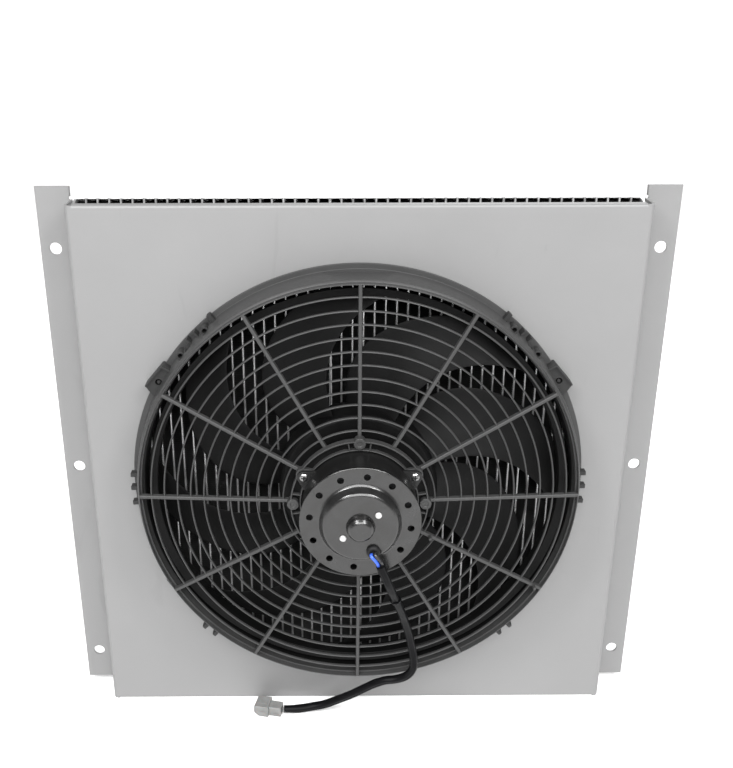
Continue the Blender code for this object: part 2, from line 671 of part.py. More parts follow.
def fan_guard():
    rim_back = -HOUSING_DEPTH - GAP
    hub_front = guard_height(HUB_RING_R[1]) - 0.004
    guard = turned("fan_guard", [(RIM_R - RIM_T, rim_back), (RIM_R - RIM_T, -GUARD_FRONT),
                                 (RIM_R, -GUARD_FRONT), (RIM_R, rim_back)],
                   (0, 0, FAN_Z), "Y", "fan_plastic", steps=60)
    hub = turned("add_hub_ring", [(HUB_RING_R[0], hub_front + 0.0075), (HUB_RING_R[0], hub_front),
                                  (HUB_RING_R[1], hub_front), (HUB_RING_R[1], hub_front + 0.0075)],
                 (0, 0, FAN_Z), "Y", steps=24)
    spokes = []
    for n in range(SPOKES):
        angle = 360 / SPOKES * n
        spoke = spun_box(f"spoke_{n}", 0.0, 1.0, 0.0040, 0.0, 1.0, angle)
        for vert in spoke.data.vertices:
            radius = HUB_RING_R[1] - 0.003 if vert.co.x < 0.5 else RIM_R - RIM_T / 2
            height = guard_height(radius)
            vert.co = (radius, height + (0.0 if vert.co.y < 0.5 else 0.0045), vert.co.z)
        spokes.append(spoke)
    rings = []
    for n in range(1, RINGS + 1):
        radius = RIM_R - RING_PITCH * n
        front = guard_height(radius) + 0.0008
        rings.append(turned(f"ring_{n}", [(radius - 0.0012, front), (radius, front + 0.0026),
                                          (radius + 0.0012, front)], (0, 0, FAN_Z), "Y", steps=20))
    bosses = []
    for n, angle in enumerate((0, 90, 180)):
        x, z = polar(0.0585, angle)
        bosses.append(cylinder(f"boss_{n}", (x, hub_front + 0.002, z), (0, 1, 0), 0.0052, 0.009,
                               sides=8))
    for n, radius in enumerate((0.0740, 0.1885)):
        x, z = polar(radius, -30)
        front = guard_height(radius)
        bosses.append(cylinder(f"post_{n}", (x, front - 0.002, z), (0, 1, 0), 0.0017, 0.008,
                               sides=6))
    holes = []
    for n, angle in enumerate(MOUNT_ANGLES):
        x, z = polar(MOUNT_R, angle)
        holes.append(cylinder(f"hole_{n}", (x, hub_front, z), (0, 1, 0), 0.0023, 0.03, sides=8))
    cut(guard, joined("add_spokes", spokes), hub, operation="UNION")
    cut(guard, joined("add_rings", rings), operation="UNION")
    cut(guard, joined("add_bosses", bosses), operation="UNION")
    cut(guard, joined("cut_guard_holes", holes))


def blade(name, phase):
    """Curved blade: a grid from hub to ring, swept clockwise towards its tip, thickened."""
    rows, columns = 6, 4
    mesh = bpy.data.meshes.new(name)
    work = bmesh.new()
    grid = []
    for i in range(rows + 1):
        radius = BLADE_ROOT_R + (BLADE_TIP_R - BLADE_ROOT_R) * i / rows
        s = (radius - BLADE_ROOT_R) / BLADE_SPAN
        middle = phase + 9.0 + 31.0 * s ** 2
        width = 35.0 - 13.0 * s ** 2
        rise = 0.0130 - 0.0045 * s
        line = []
        for j in range(columns + 1):
            t = 2 * j / columns - 1
            angle = radians(middle + width / 2 * t)
            depth = -0.0010 - rise * t + 0.0035 * (1 - t * t)
            line.append(work.verts.new((radius * sin(angle), depth, radius * cos(angle))))
        grid.append(line)
    for a, b in zip(grid, grid[1:]):
        for j in range(columns):
            work.faces.new((a[j], a[j + 1], b[j + 1], b[j]))
    work.to_mesh(mesh)
    work.free()
    obj = new_object(name, mesh)
    obj.location = place(0, 0, FAN_Z)
    skin = obj.modifiers.new("skin", "SOLIDIFY")
    skin.thickness = BLADE_T
    skin.offset = 0.0
    return obj


def rotor():
    """Hub cup with a bearing sleeve, eight blades and the flared ring that joins their tips."""
    inner, outer = ROTOR_RING_R
    ring = turned("rotor", [(inner, -0.0180), (ROTOR_R, -0.0200), (ROTOR_R, -0.0175), (outer, -0.0165),
                            (outer, -0.0030), (inner, -0.0030)],
                  (0, 0, FAN_Z), "Y", "rotor_plastic", steps=48)
    bore, rim = SHAFT_R + GAP, ROTOR_HUB_R - 0.0030
    hub = turned("add_rotor_hub", [(bore, -0.0170), (0.0120, -0.0200), (rim, -0.0200),
                                   (ROTOR_HUB_R, -0.0170), (ROTOR_HUB_R, 0.0160), (rim, 0.0160),
                                   (rim, -0.0160), (0.0130, -0.0160), (0.0110, 0.0040), (bore, 0.0040)],
                 (0, 0, FAN_Z), "Y", steps=32)
    blades = joined("add_blades", [blade(f"blade_{n}", 360 / BLADES * n) for n in range(BLADES)])
    cut(ring, blades, hub, operation="UNION")


# ---------------------------------------------------------------- motor

def motor_shell():
    """Deep can with three mounting ears, held to the guard's hub ring by three screws."""
    can = turned("motor_can", [(CAN_R, -CAP_FACE + 0.0030), (CAN_R, -0.0290), (CAN_R - 0.003, -0.0260),
                               (0.0060, -0.0260), (0.0060, -0.0280), (CAN_R - 0.0038, -0.0280),
                               (CAN_R - 0.0020, -0.0298), (CAN_R - 0.0020, -CAP_FACE + 0.0030)],
                 (0, 0, FAN_Z), "Y", "motor_steel", steps=36)
    seat = guard_height(HUB_RING_R[1]) - 0.004 - GAP
    ears, holes = [], []
    for n, angle in enumerate(MOUNT_ANGLES):
        ears.append(spun_box(f"add_can_ear_{n}", CAN_R - 0.0010, 0.0620, 0.0150, seat - EAR_T, seat, angle))
        x, z = polar(MOUNT_R, angle)
        holes.append(cylinder(f"can_hole_{n}", (x, seat, z), (0, 1, 0), 0.0023, 0.02, sides=10))
        head = seat - EAR_T - GAP
        turned(f"guard_screw_{n + 1}", [(0.0, head - 0.0036), (0.0030, head - 0.0032),
                                        (0.0046, head - 0.0016), (0.0046, head), (0.0020, head),
                                        (0.0020, head + 0.0095), (0.0, head + 0.0095)],
               (x, 0, z), "Y", "bright_steel", steps=8, closed=False)
    cut(can, joined("add_can_ears", ears), operation="UNION")
    cut(can, joined("cut_can_holes", holes))


def end_cap():
    """Pressed cap with vent holes and a raised boss, which holds the bearing cap and the grommet."""
    face, boss = -CAP_FACE, -BOSS_FACE
    profile = [(0.0118, boss), (0.0300, boss), (0.0322, boss + 0.0018), (0.0355, face - 0.0012),
               (0.0373, face), (CAP_R - 0.0012, face), (CAP_R, face + 0.0012),
               (CAP_R, face + CAP_SKIN + 0.0010), (0.0360, face + CAP_SKIN + 0.0010),
               (0.0335, face + CAP_SKIN - 0.0010), (0.0300, boss + CAP_SKIN + 0.0010),
               (0.0118, boss + CAP_SKIN + 0.0010)]
    cap = turned("motor_end_cap", profile, (0, 0, FAN_Z), "Y", "cap_steel", steps=32)
    punched = []
    for n in range(VENTS):
        x, z = polar(VENT_R, VENT_PHASE + 360 / VENTS * n)
        punched.append(cylinder(f"vent_{n}", (x, face, z), (0, 1, 0), 0.0030, 0.02, sides=8))
    for n, (x, z) in enumerate(RIVET_XZ):
        punched.append(cylinder(f"rivet_hole_{n}", (x, boss, FAN_Z + z), (0, 1, 0), 0.0022, 0.02, sides=8))
    lead_exit = (GROMMET_XZ[0], boss, FAN_Z + GROMMET_XZ[1])
    punched.append(cylinder("grommet_hole", lead_exit, (0, 1, 0), 0.0045, 0.02, sides=12))
    cut(cap, joined("cut_end_cap", punched))

    back = boss + CAP_SKIN + 0.0010 + GAP
    front = -BEARING_FACE
    bearing = turned("bearing_cap", [(0.0, front), (0.0092, front), (0.0108, front + 0.0012),
                                     (0.0112, front + 0.003), (0.0112, back), (0.0215, back),
                                     (0.0215, back + 0.0012), (0.0098, back + 0.0012),
                                     (0.0098, front + 0.0018), (0.0, front + 0.0018)],
                     (0, 0, FAN_Z), "Y", "cap_steel", steps=20, closed=False)
    holes = []
    for n, (x, z) in enumerate(RIVET_XZ):
        holes.append(cylinder(f"bearing_rivet_{n}", (x, back, FAN_Z + z), (0, 1, 0), 0.0022, 0.02, sides=8))
        turned(f"cap_rivet_{n + 1}", [(0.0, boss - GAP - 0.0016), (0.0022, boss - GAP - 0.0014),
                                      (0.0030, boss - GAP), (0.0019, boss - GAP),
                                      (0.0019, back + 0.0030), (0.0, back + 0.0030)],
               (x, 0, FAN_Z + z), "Y", "bright_steel", steps=14, closed=False)
    cut(bearing, joined("cut_bearing_cap", holes))
    turned("grommet", [(0.0, boss - 0.0040), (0.0038, boss - 0.0040), (0.0058, boss - 0.0026),
                       (0.0058, boss - GAP), (0.0042, boss - GAP), (0.0042, boss + 0.0020),
                       (0.0, boss + 0.0020)],
           (GROMMET_XZ[0], 0, FAN_Z + GROMMET_XZ[1]), "Y", "rubber", steps=16, closed=False)


def motor_inside():
    """Shaft, armature, commutator, bearings, magnets, brush plate and brushes."""
    centre = (0, 0, FAN_Z)

    def tube(name, inner, outer, front, back, slot, steps=16):
        profile = [(inner, front), (outer, front), (outer, back), (inner, back)]
        turned(name, profile, centre, "Y", slot, steps)

    bore = SHAFT_R + GAP
    cylinder("shaft", (0, -0.0420, FAN_Z), (0, 1, 0), SHAFT_R, 0.1060, "bright_steel", sides=16)
    tube("armature", bore, 0.0380, -0.0620, -0.0380, "copper")
    tube("commutator", bore, 0.0130, -0.0760, -0.0640, "copper")
    tube("front_bearing", bore, 0.0095, -0.0950, -0.0860, "bright_steel", 12)
    tube("rear_bearing", bore, 0.0100, -0.0345, -0.0284, "bright_steel", 12)
    tube("brush_plate", 0.0160, 0.0470, -0.0665, -0.0650, "ferrite")
    tube("rotor_nut", bore / cos(radians(30)), 0.0080, 0.0044, 0.0090, "bright_steel", 6)
    for name, side in (("left", 180), ("right", 0)):
        outline = []
        outline += [(x, z) for x, z in (polar(0.0410, side + a) for a in range(-60, 61, 15))]
        outline += [(x, z) for x, z in (polar(0.0480, side + a) for a in range(60, -61, -15))]
        extruded(f"magnet_{name}", outline, -0.0640, -0.0340, "ferrite", axis="Y")
        low, high = sorted((cos(radians(side)) * 0.0133, cos(radians(side)) * 0.0240))
        box(f"brush_{name}", (low, -0.0755, FAN_Z - 0.0040), (high, -0.0668, FAN_Z + 0.0040), "carbon")


# ---------------------------------------------------------------- cable

def cable():
    """Two wires out of the grommet, into a sleeve that ends in a two-pin connector."""
    start = Vector((GROMMET_XZ[0], -BOSS_FACE - 0.0040 - 2 * GAP, FAN_Z + GROMMET_XZ[1]))
    first = Vector(CABLE_ROUTE[0])
    ahead = (Vector(CABLE_ROUTE[1]) - first).normalized()
    across = ahead.cross(Vector((0, 1, 0))).normalized()
    for name, side in (("wire_blue", -1), ("wire_black", 1)):
        shift = across * side * WIRE_OFFSET
        points = [start + shift, start + shift + Vector((0, -0.0030, -0.0004)),
                  first + shift - ahead * 0.0040, first + shift - ahead * 2 * GAP]
        wire(name, smooth_route(points, 0.0030), WIRE_R, name)
    wire("cable_sleeve", smooth_route(CABLE_ROUTE, 0.0110), CABLE_R, "sleeve")
    low, high = Vector(CABLE_ROUTE[TIE_POINT - 1]), Vector(CABLE_ROUTE[TIE_POINT + 1])
    turn = (high - low).to_track_quat("Z", "Y").to_matrix().to_4x4()
    band = turned("cable_tie", [(CABLE_R + GAP, -0.0014), (CABLE_R + 0.0012, -0.0014),
                                (CABLE_R + 0.0012, 0.0014), (CABLE_R + GAP, 0.0014)],
                  (0, 0, 0), "Z", "rubber")
    band.matrix_world = Matrix.Translation(place(*CABLE_ROUTE[TIE_POINT])) @ turn


def lay_plug(obj):
    """Turn a piece drawn around the lead's end to the angle at which the connector lies."""
    there = Matrix.Translation(place(*PLUG_AT, 0)) @ Matrix.Rotation(radians(PLUG_TURN), 4, "Z")
    obj.matrix_basis = there @ Matrix.Translation((0, -FRONT_Y, 0)) @ obj.matrix_basis
    return obj


def connector():
    """Nylon body with a bevelled mouth and a narrower neck, and two terminals in its slots."""
    mouth, floor = -PLUG_L, 0.0004
    outline = [(mouth + PLUG_CHAMFER, floor), (-PLUG_NECK_L, floor), (-PLUG_NECK_L, PLUG_H),
               (mouth + 0.0010, PLUG_H), (mouth, PLUG_H - 0.0010), (mouth, floor + PLUG_CHAMFER)]
    body = lay_plug(extruded("connector_housing", outline, -PLUG_W / 2, PLUG_W / 2, "nylon", axis="Y"))
    neck = lay_plug(box("add_plug_neck", (-PLUG_NECK_L - 0.001, -PLUG_NECK_W / 2, floor),
                        (-GAP, PLUG_NECK_W / 2, PLUG_NECK_H), bevel=0.0010))
    slots = []
    for n, side in enumerate((-1, 1)):
        middle = side * PIN_PITCH / 2
        slots.append(lay_plug(box(f"slot_{n}", (mouth - 0.005, middle - 0.0031, 0.0052),
                                  (mouth + 0.014, middle + 0.0031, 0.0108))))
        lay_plug(box(f"terminal_{n + 1}", (mouth + 0.0040, middle - 0.0020, 0.0072),
                     (mouth + 0.014 - GAP, middle + 0.0020, 0.0082), "brass"))
    cut(body, neck, operation="UNION")
    cut(body, joined("cut_connector", slots))


# ---------------------------------------------------------------- assembly

clear_scene()
PARTS = make_collection("engine_radiator")
CUTTERS = make_collection("cutters")

shroud_panel()
side_channels()
core()
filler_hole = cylinder("cut_filler_hole", (FILLER_X, FILLER_DEPTH, UPPER_TANK_Z[1]), (0, 0, 1), 0.0150,
                       0.02, sides=28)
tank("upper", *UPPER_TANK_Z, -NECK_X, [filler_hole])
tank("lower", *LOWER_TANK_Z, NECK_X, [drain()])
hose_neck("inlet_neck", -NECK_X, sum(UPPER_TANK_Z) / 2)
hose_neck("outlet_neck", NECK_X, sum(LOWER_TANK_Z) / 2)
filler()
fan_housing()
fan_screws()
fan_guard()
rotor()
motor_shell()
end_cap()
motor_inside()
cable()
connector()
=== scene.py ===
"""Looks of an engine radiator with an electric fan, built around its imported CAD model."""

import json
from math import ceil, cos, exp, pi, radians, sin, sqrt

import bmesh
import bpy
from mathutils import Matrix, Vector, noise


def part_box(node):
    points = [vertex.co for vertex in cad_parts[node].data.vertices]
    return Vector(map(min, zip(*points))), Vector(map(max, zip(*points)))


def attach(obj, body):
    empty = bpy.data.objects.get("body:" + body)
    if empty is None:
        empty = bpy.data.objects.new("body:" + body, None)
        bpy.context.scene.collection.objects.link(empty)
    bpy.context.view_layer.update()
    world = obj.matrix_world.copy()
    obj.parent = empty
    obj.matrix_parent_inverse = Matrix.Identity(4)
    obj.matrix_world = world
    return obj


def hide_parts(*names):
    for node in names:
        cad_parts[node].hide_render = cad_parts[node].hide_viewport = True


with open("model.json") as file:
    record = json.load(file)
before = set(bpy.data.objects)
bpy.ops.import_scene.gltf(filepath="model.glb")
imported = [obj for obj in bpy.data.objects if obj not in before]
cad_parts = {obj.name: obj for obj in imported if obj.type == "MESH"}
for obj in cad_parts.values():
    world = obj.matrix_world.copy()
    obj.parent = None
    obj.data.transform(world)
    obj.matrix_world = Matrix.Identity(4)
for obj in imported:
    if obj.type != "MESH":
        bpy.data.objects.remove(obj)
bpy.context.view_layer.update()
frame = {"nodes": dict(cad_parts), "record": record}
NODES = frame["nodes"]
SCENE = bpy.context.scene

# ---------------------------------------------------------------- dimensions, in metres
# Depth is measured backwards from the front face of the shroud panel.

PANEL_LOW, PANEL_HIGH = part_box("shroud_panel")
FRONT_Y = PANEL_LOW.y
FLANGE_X = PANEL_HIGH.x
FLANGE_TOP = PANEL_HIGH.z
WALL_DEPTH = PANEL_HIGH.y - FRONT_Y
SHEET = 0.0020
PANEL_W = 0.4940
PANEL_H = 0.5050
FLANGE_BOTTOM = 0.0065
BEND = 0.0045
HEM_DEPTH = 0.0095
HEM_BEND = SHEET + 0.0004
HEM_ROOT = HEM_BEND + 0.0010
HEM_END_GAP = BEND + 0.0015
FAN_OPENING_R = 0.1925
FLANGE_HOLE_R = 0.0054
FLANGE_HOLE_X = 0.2645
FLANGE_HOLE_Z = (0.0385, 0.2500, 0.4615)

TUBES = 48
TUBE_PITCH = 0.0100
TUBE_T = 0.0020
CORE_LOW, CORE_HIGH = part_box("tube_bank")
CORE_FRONT = CORE_LOW.y - FRONT_Y
CORE_BACK = CORE_HIGH.y - FRONT_Y
CORE_TOP = CORE_HIGH.z
CORE_SLOPE = 0.25
CORE_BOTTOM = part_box("fin_pack")[0].z
CORE_HALF = CORE_HIGH.x
FIN_FOLD = 0.00115
FIN_RECESS = 0.0006
FIN_CREST = 0.0003
FIN_TOP_GAP = 0.0005
FIN_SIDE_GAP = 0.0001

TANK_WALL = 0.0025
NECK_BORE_R = 0.0165
NECK_R = 0.0190
BEAD_INSET = 0.0017
FILLER_BORE_R = 0.0150
DRAIN_BORE_R = 0.0048
CAP_RIBS = 36

GUARD_LOW, GUARD_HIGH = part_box("fan_guard")
FAN_Z = (GUARD_LOW.z + GUARD_HIGH.z) / 2
RIM_R = GUARD_HIGH.x
RIM_T = 0.0015
GUARD_FRONT = 0.0350
GUARD_DISH = 0.0080
RING_PITCH = 0.01181
RINGS = 11
RING_SETBACK = 0.0024
SPOKES = 12
HUB_RING_R = (0.0515, 0.0610)
HUB_FRONT = GUARD_LOW.y - FRONT_Y

HOUSING_R = 0.2060
THROAT_R = 0.1925
LIP_R = 0.1945
HOUSING_DEPTH = 0.0300
FLARE_DEPTH = 0.0180
FLAT_RISE = 0.1988
EAR_R = 0.2030
EAR_ANGLES = (30, 150, 210, 330)
EAR_DEPTH = 0.0120
SOCKET_R = 0.2005
SOCKET_BORE_R = 0.0021
SOCKET_ANGLES = (39.6, 48.6, 131.4, 140.4)
RIB_ANGLES = (43.6, 46.2, 133.8, 136.4)
TAB_ANGLES = (51.4, 128.6)
POCKET_ANGLES = (42.2, 137.8)
LUG_ANGLES = (225.6, 229.0, 311.0, 314.4)
SIDE_LUG_ANGLES = (-4.0, 0.2, 3.9, 176.1, 179.8, 184.0)

ROTOR_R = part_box("rotor")[1].x + 0.0022
ROTOR_RING_R = (0.1820, 0.1842)
ROTOR_HUB_R = 0.0720
BLADES = 8
BLADE_ROOT_R = 0.0700
BLADE_TIP_R = 0.1830
BLADE_SPAN = 0.1080

CAN_R = 0.0505
CAP_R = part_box("motor_end_cap")[1].x
CAP_FACE = 0.0820
VENTS = 12
VENT_R = 0.0437
VENT_PHASE = 22.7
BOSS_FACE = 0.0900
BEARING_FACE = 0.0980
MOUNT_R = 0.0560
MOUNT_ANGLES = (30, 150, 270)
RIVETS = ((0.0149, 0.0120), (-0.0149, -0.0100))
GROMMET = (0.0109, -0.0228)

CABLE_R = 0.0043
WIRE_R = 0.0014
WIRE_OFFSET = 0.00175
CABLE_ROUTE = (
    (0.0168, -0.0980, 0.2175), (0.0223, -0.0940, 0.2010), (0.0269, -0.0880, 0.1868),
    (0.0319, -0.0800, 0.1711), (0.0370, -0.0710, 0.1543), (0.0414, -0.0625, 0.1376),
    (0.0464, -0.0545, 0.1175), (0.0500, -0.0500, 0.0996), (0.0525, -0.0482, 0.0848),
    (0.0529, -0.0468, 0.0737), (0.0500, -0.0450, 0.0650), (0.0442, -0.0430, 0.0584),
    (0.0357, -0.0412, 0.0542), (0.0264, -0.0400, 0.0522), (0.0169, -0.0380, 0.0470),
    (0.0074, -0.0355, 0.0397), (-0.0051, -0.0318, 0.0295), (-0.0179, -0.0266, 0.0190),
    (-0.0317, -0.0230, 0.0102), (-0.0458, -0.0218, 0.0058), (-0.0590, -0.0236, 0.0052),
    (-0.0726, -0.0248, 0.0058),
)
TIE_POINT = 3
PLUG_AT = (-0.0742, -0.0252)
PLUG_TURN = -12.0
PLUG_L = 0.0270
PLUG_NECK_L = 0.0125
PLUG_W = 0.0170
PLUG_NECK_W = 0.0116
PLUG_H = 0.0128
PLUG_NECK_H = 0.0106
PLUG_CHAMFER = 0.0045
PIN_PITCH = 0.0084

# ---------------------------------------------------------------- camera

CAMERA_SPOT = (-0.0243, -0.8452, 0.6757)
CAMERA_PITCH = 21.96
CAMERA_YAW = 0.31
CAMERA_ROLL = -0.08
CAMERA_LENS = 46.53
CAMERA_SHIFT = 0.0393

camera = bpy.data.objects.new("camera", bpy.data.cameras.new("camera"))
camera.data.lens = CAMERA_LENS
camera.data.shift_x = CAMERA_SHIFT
camera.data.clip_start = 0.01
camera.data.clip_end = 500
camera.matrix_world = (Matrix.Translation(CAMERA_SPOT) @ Matrix.Rotation(-radians(CAMERA_YAW), 4, "Z")
                       @ Matrix.Rotation(radians(90 - CAMERA_PITCH), 4, "X")
                       @ Matrix.Rotation(radians(CAMERA_ROLL), 4, "Z"))
SCENE.collection.objects.link(camera)
SCENE.camera = camera
SCENE.view_settings.view_transform = "Standard"


# ---------------------------------------------------------------- finishes

class Finish:
    """A Principled material and the few node chains that its colour, gloss and grain come from."""

    def __init__(self, name, colour, roughness, metallic=0.0, **sockets):
        self.material = bpy.data.materials.new(name)
        self.material.use_nodes = True
        self.tree = self.material.node_tree
        self.shader = self.tree.nodes["Principled BSDF"]
        self.shader.inputs["Base Color"].default_value = (*colour, 1.0)
        self.shader.inputs["Roughness"].default_value = roughness
        self.shader.inputs["Metallic"].default_value = metallic
        for socket, value in sockets.items():
            self.shader.inputs[socket.replace("_", " ")].default_value = value
        self.height = None

    def add(self, kind, inputs=None, **settings):
        node = self.tree.nodes.new(kind)
        for key, value in settings.items():
            setattr(node, key, value)
        for key, value in (inputs or {}).items():
            if isinstance(value, bpy.types.NodeSocket):
                self.tree.links.new(value, node.inputs[key])
            else:
                node.inputs[key].default_value = value
        return node

    def spot(self, stretch=(1, 1, 1)):
        """Where the surface is on the piece, stretched per axis."""
        on_piece = self.add("ShaderNodeTexCoord").outputs["Object"]
        return self.add("ShaderNodeMapping", {"Vector": on_piece, "Scale": stretch}).outputs["Vector"]

    def noise(self, scale, detail=3.0, stretch=(1, 1, 1), distortion=0.0):
        inputs = {"Vector": self.spot(stretch), "Scale": scale, "Detail": detail, "Distortion": distortion}
        return self.add("ShaderNodeTexNoise", inputs).outputs["Fac"]

    def between(self, value, source, target=(0.0, 1.0)):
        """The value moved from one range to another, held at both ends."""
        inputs = {"Value": value, "From Min": source[0], "From Max": source[1], "To Min": target[0],
                  "To Max": target[1]}
        return self.add("ShaderNodeMapRange", inputs).outputs["Result"]

    def blend(self, factor, low, high):
        node = self.add("ShaderNodeMix", data_type="RGBA")
        self.tree.links.new(factor, node.inputs["Factor"])
        for key, value in ((6, low), (7, high)):
            if isinstance(value, bpy.types.NodeSocket):
                self.tree.links.new(value, node.inputs[key])
            else:
                node.inputs[key].default_value = (*value, 1.0)
        return node.outputs[2]

    def colour(self, socket):
        self.tree.links.new(socket, self.shader.inputs["Base Color"])
        return self

    def gloss(self, socket):
        self.tree.links.new(socket, self.shader.inputs["Roughness"])
        return self

    def bump(self, height, distance, strength=1.0):
        """Relief on top of any that is there already."""
        inputs = {"Height": height, "Distance": distance, "Strength": strength}
        if self.height is not None:
            inputs["Normal"] = self.height
        self.height = self.add("ShaderNodeBump", inputs).outputs["Normal"]
        self.tree.links.new(self.height, self.shader.inputs["Normal"])
        return self


def grey(level, warm=0.0):
    return (level * (1 + warm), level, level * (1 - warm))


def sheet_metal(name, level, roughness, grain=(1, 1, 40), metallic=0.9):
    """Mill-finished aluminium: a fine rolling grain, cloudy gloss and a few light scuffs."""
    made = Finish(name, grey(level), roughness, metallic=metallic)
    clouds = made.noise(9, 4)
    rolled = made.noise(55, 5, stretch=grain)
    scuffs = made.between(made.noise(26, 8, stretch=(1, 1, 0.25), distortion=2.5), (0.66, 0.74))
    base = made.blend(made.between(clouds, (0.3, 0.7)), grey(level * 0.965), grey(level * 1.03))
    base = made.blend(scuffs, base, grey(level * 0.93))
    made.colour(base)
    made.gloss(made.between(clouds, (0.3, 0.7), (roughness - 0.04, roughness + 0.05)))
    made.bump(rolled, 0.00004, 0.5)
    made.bump(made.noise(900, 2), 0.00002, 0.4)
    return made


def moulded_plastic(name, level, roughness, shine, grain=2600, relief=0.00006):
    """Grained glass-filled nylon, a little chalky where it has been handled."""
    made = Finish(name, grey(level), roughness, Specular_IOR_Level=shine)
    chalk = made.between(made.noise(38, 6, distortion=0.6), (0.45, 0.75))
    speckle = made.between(made.noise(1400, 2), (0.35, 0.7))
    base = made.blend(chalk, grey(level * 0.93), grey(level * 1.14))
    made.colour(made.blend(speckle, base, grey(level * 1.10)))
    made.gloss(made.between(chalk, (0.0, 1.0), (roughness, roughness + 0.12)))
    made.bump(made.noise(grain, 3), relief, 0.55)
    return made


def plated_steel(name, level, roughness, metallic=1.0, cloud=60, **sockets):
    """Pressed and plated steel, with faint cloudy stains and a fine satin tooth."""
    made = Finish(name, grey(level), roughness, metallic=metallic, **sockets)
    stain = made.between(made.noise(cloud, 6, distortion=1.2), (0.35, 0.7))
    made.colour(made.blend(stain, grey(level * 0.92, 0.01), grey(level * 1.08)))
    made.gloss(made.between(stain, (0.0, 1.0), (roughness - 0.04, roughness + 0.08)))
    made.bump(made.noise(1500, 3), 0.00003, 0.5)
    return made


def brazed_aluminium(name, level, roughness, mottle=120):
    """Brazed aluminium with a dry flux bloom in soft patches."""
    made = Finish(name, grey(level), roughness, metallic=0.85)
    bloom = made.between(made.noise(mottle, 7, distortion=0.8), (0.42, 0.66))
    made.colour(made.blend(bloom, grey(level * 0.9), grey(level * 1.07)))
    made.gloss(made.between(bloom, (0.0, 1.0), (roughness, roughness + 0.18)))
    made.bump(made.noise(700, 4), 0.00004, 0.5)
    return made


def soft_skin(name, colour, roughness, grain, relief, **sockets):
    """Rubber, sleeving or insulation: one hue, with a grain and slightly uneven gloss."""
    made = Finish(name, colour, roughness, **sockets)
    uneven = made.between(made.noise(grain * 0.2, 4), (0.35, 0.7))
    made.colour(made.blend(uneven, [c * 0.86 for c in colour], [c * 1.16 for c in colour]))
    made.gloss(made.between(uneven, (0.0, 1.0), (roughness - 0.06, roughness + 0.08)))
    made.bump(made.noise(grain, 3), relief, 0.6)
    return made


SHEET_ALUMINIUM = sheet_metal("sheet_aluminium_finish", 0.167, 0.58, metallic=0.2)
TANK_ALUMINIUM = sheet_metal("tank_aluminium_finish", 0.38, 0.38, grain=(40, 1, 1))
WELD_ALUMINIUM = brazed_aluminium("weld_finish", 0.40, 0.30, mottle=300)
CORE_ALUMINIUM = brazed_aluminium("core_aluminium_finish", 0.66, 0.34)
# The fins' aluminium is darkened nearly to black: painted shade for the deep, shadowed fin channels.
FIN_PAINTED_SHADE = brazed_aluminium("fin_painted_shade_finish", 0.065, 0.45, mottle=60)
FAN_PLASTIC = moulded_plastic("fan_plastic_finish", 0.029, 0.40, 0.32)
# The ears and lugs are moulded with the barrel but get a darker copy of its plastic: painted shade.
LUG_SHADED_PLASTIC = moulded_plastic("lug_painted_shade_finish", 0.015, 0.42, 0.26)
ROTOR_PLASTIC = moulded_plastic("rotor_plastic_finish", 0.004, 0.48, 0.09)
MOTOR_PAINT = plated_steel("motor_paint_finish", 0.006, 0.34, metallic=0.0, cloud=25, Coat_Weight=0.12,
                           Specular_IOR_Level=0.3)
CAP_STEEL = plated_steel("cap_steel_finish", 0.060, 0.21, metallic=0.9)
BRIGHT_STEEL = plated_steel("bright_steel_finish", 0.22, 0.26)
RIVET_ALUMINIUM = plated_steel("rivet_finish", 0.46, 0.45, metallic=0.6)
COPPER = soft_skin("copper_finish", (0.52, 0.22, 0.10), 0.32, 800, 0.00004, Metallic=0.9)
BRASS = soft_skin("brass_finish", (0.62, 0.43, 0.17), 0.30, 600, 0.00003, Metallic=0.95)
FERRITE = soft_skin("ferrite_finish", (0.05, 0.05, 0.052), 0.55, 900, 0.00006)
CARBON = soft_skin("carbon_finish", (0.03, 0.03, 0.03), 0.5, 1200, 0.00004)
RUBBER = soft_skin("rubber_finish", (0.006, 0.006, 0.0065), 0.60, 1500, 0.00006, Specular_IOR_Level=0.2)
SLEEVE = soft_skin("sleeve_finish", (0.003, 0.003, 0.0034), 0.36, 520, 0.00010, Specular_IOR_Level=0.06)
BLUE_WIRE = soft_skin("wire_blue_finish", (0.030, 0.085, 0.46), 0.28, 700, 0.00002)
BLACK_WIRE = soft_skin("wire_black_finish", (0.015, 0.015, 0.017), 0.28, 700, 0.00002)
NYLON = soft_skin("nylon_finish", (0.138, 0.138, 0.135), 0.40, 420, 0.00005, Subsurface_Weight=0.12,
                  Subsurface_Scale=0.002)

# The finish of each material slot of the CAD
SLOT_FINISHES = {
    "sheet_aluminium": SHEET_ALUMINIUM, "core_aluminium": CORE_ALUMINIUM,
    "fin_aluminium": FIN_PAINTED_SHADE, "tank_aluminium": TANK_ALUMINIUM, "fan_plastic": FAN_PLASTIC,
    "rotor_plastic": ROTOR_PLASTIC, "motor_steel": MOTOR_PAINT, "cap_steel": CAP_STEEL,
    "bright_steel": BRIGHT_STEEL, "copper": COPPER, "ferrite": FERRITE, "carbon": CARBON,
    "rubber": RUBBER, "sleeve": SLEEVE, "wire_blue": BLUE_WIRE, "wire_black": BLACK_WIRE,
    "nylon": NYLON, "brass": BRASS,
}


# ---------------------------------------------------------------- mesh helpers

def place(x, depth, z):
    return Vector((x, FRONT_Y + depth, z))


def middle_of(node):
    low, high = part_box(node)
    return (low + high) / 2


def polar(radius, degrees):
    """(x, z) of a point about the fan axis, degrees counted from +X towards +Z."""
    return radius * cos(radians(degrees)), FAN_Z + radius * sin(radians(degrees))


def laid(a, b, along, axis):
    """(x, y, z) of a point given along an axis, and by the other two coordinates in their order."""
    return {"X": (along, a, b), "Y": (a, along, b), "Z": (a, b, along)}[axis]


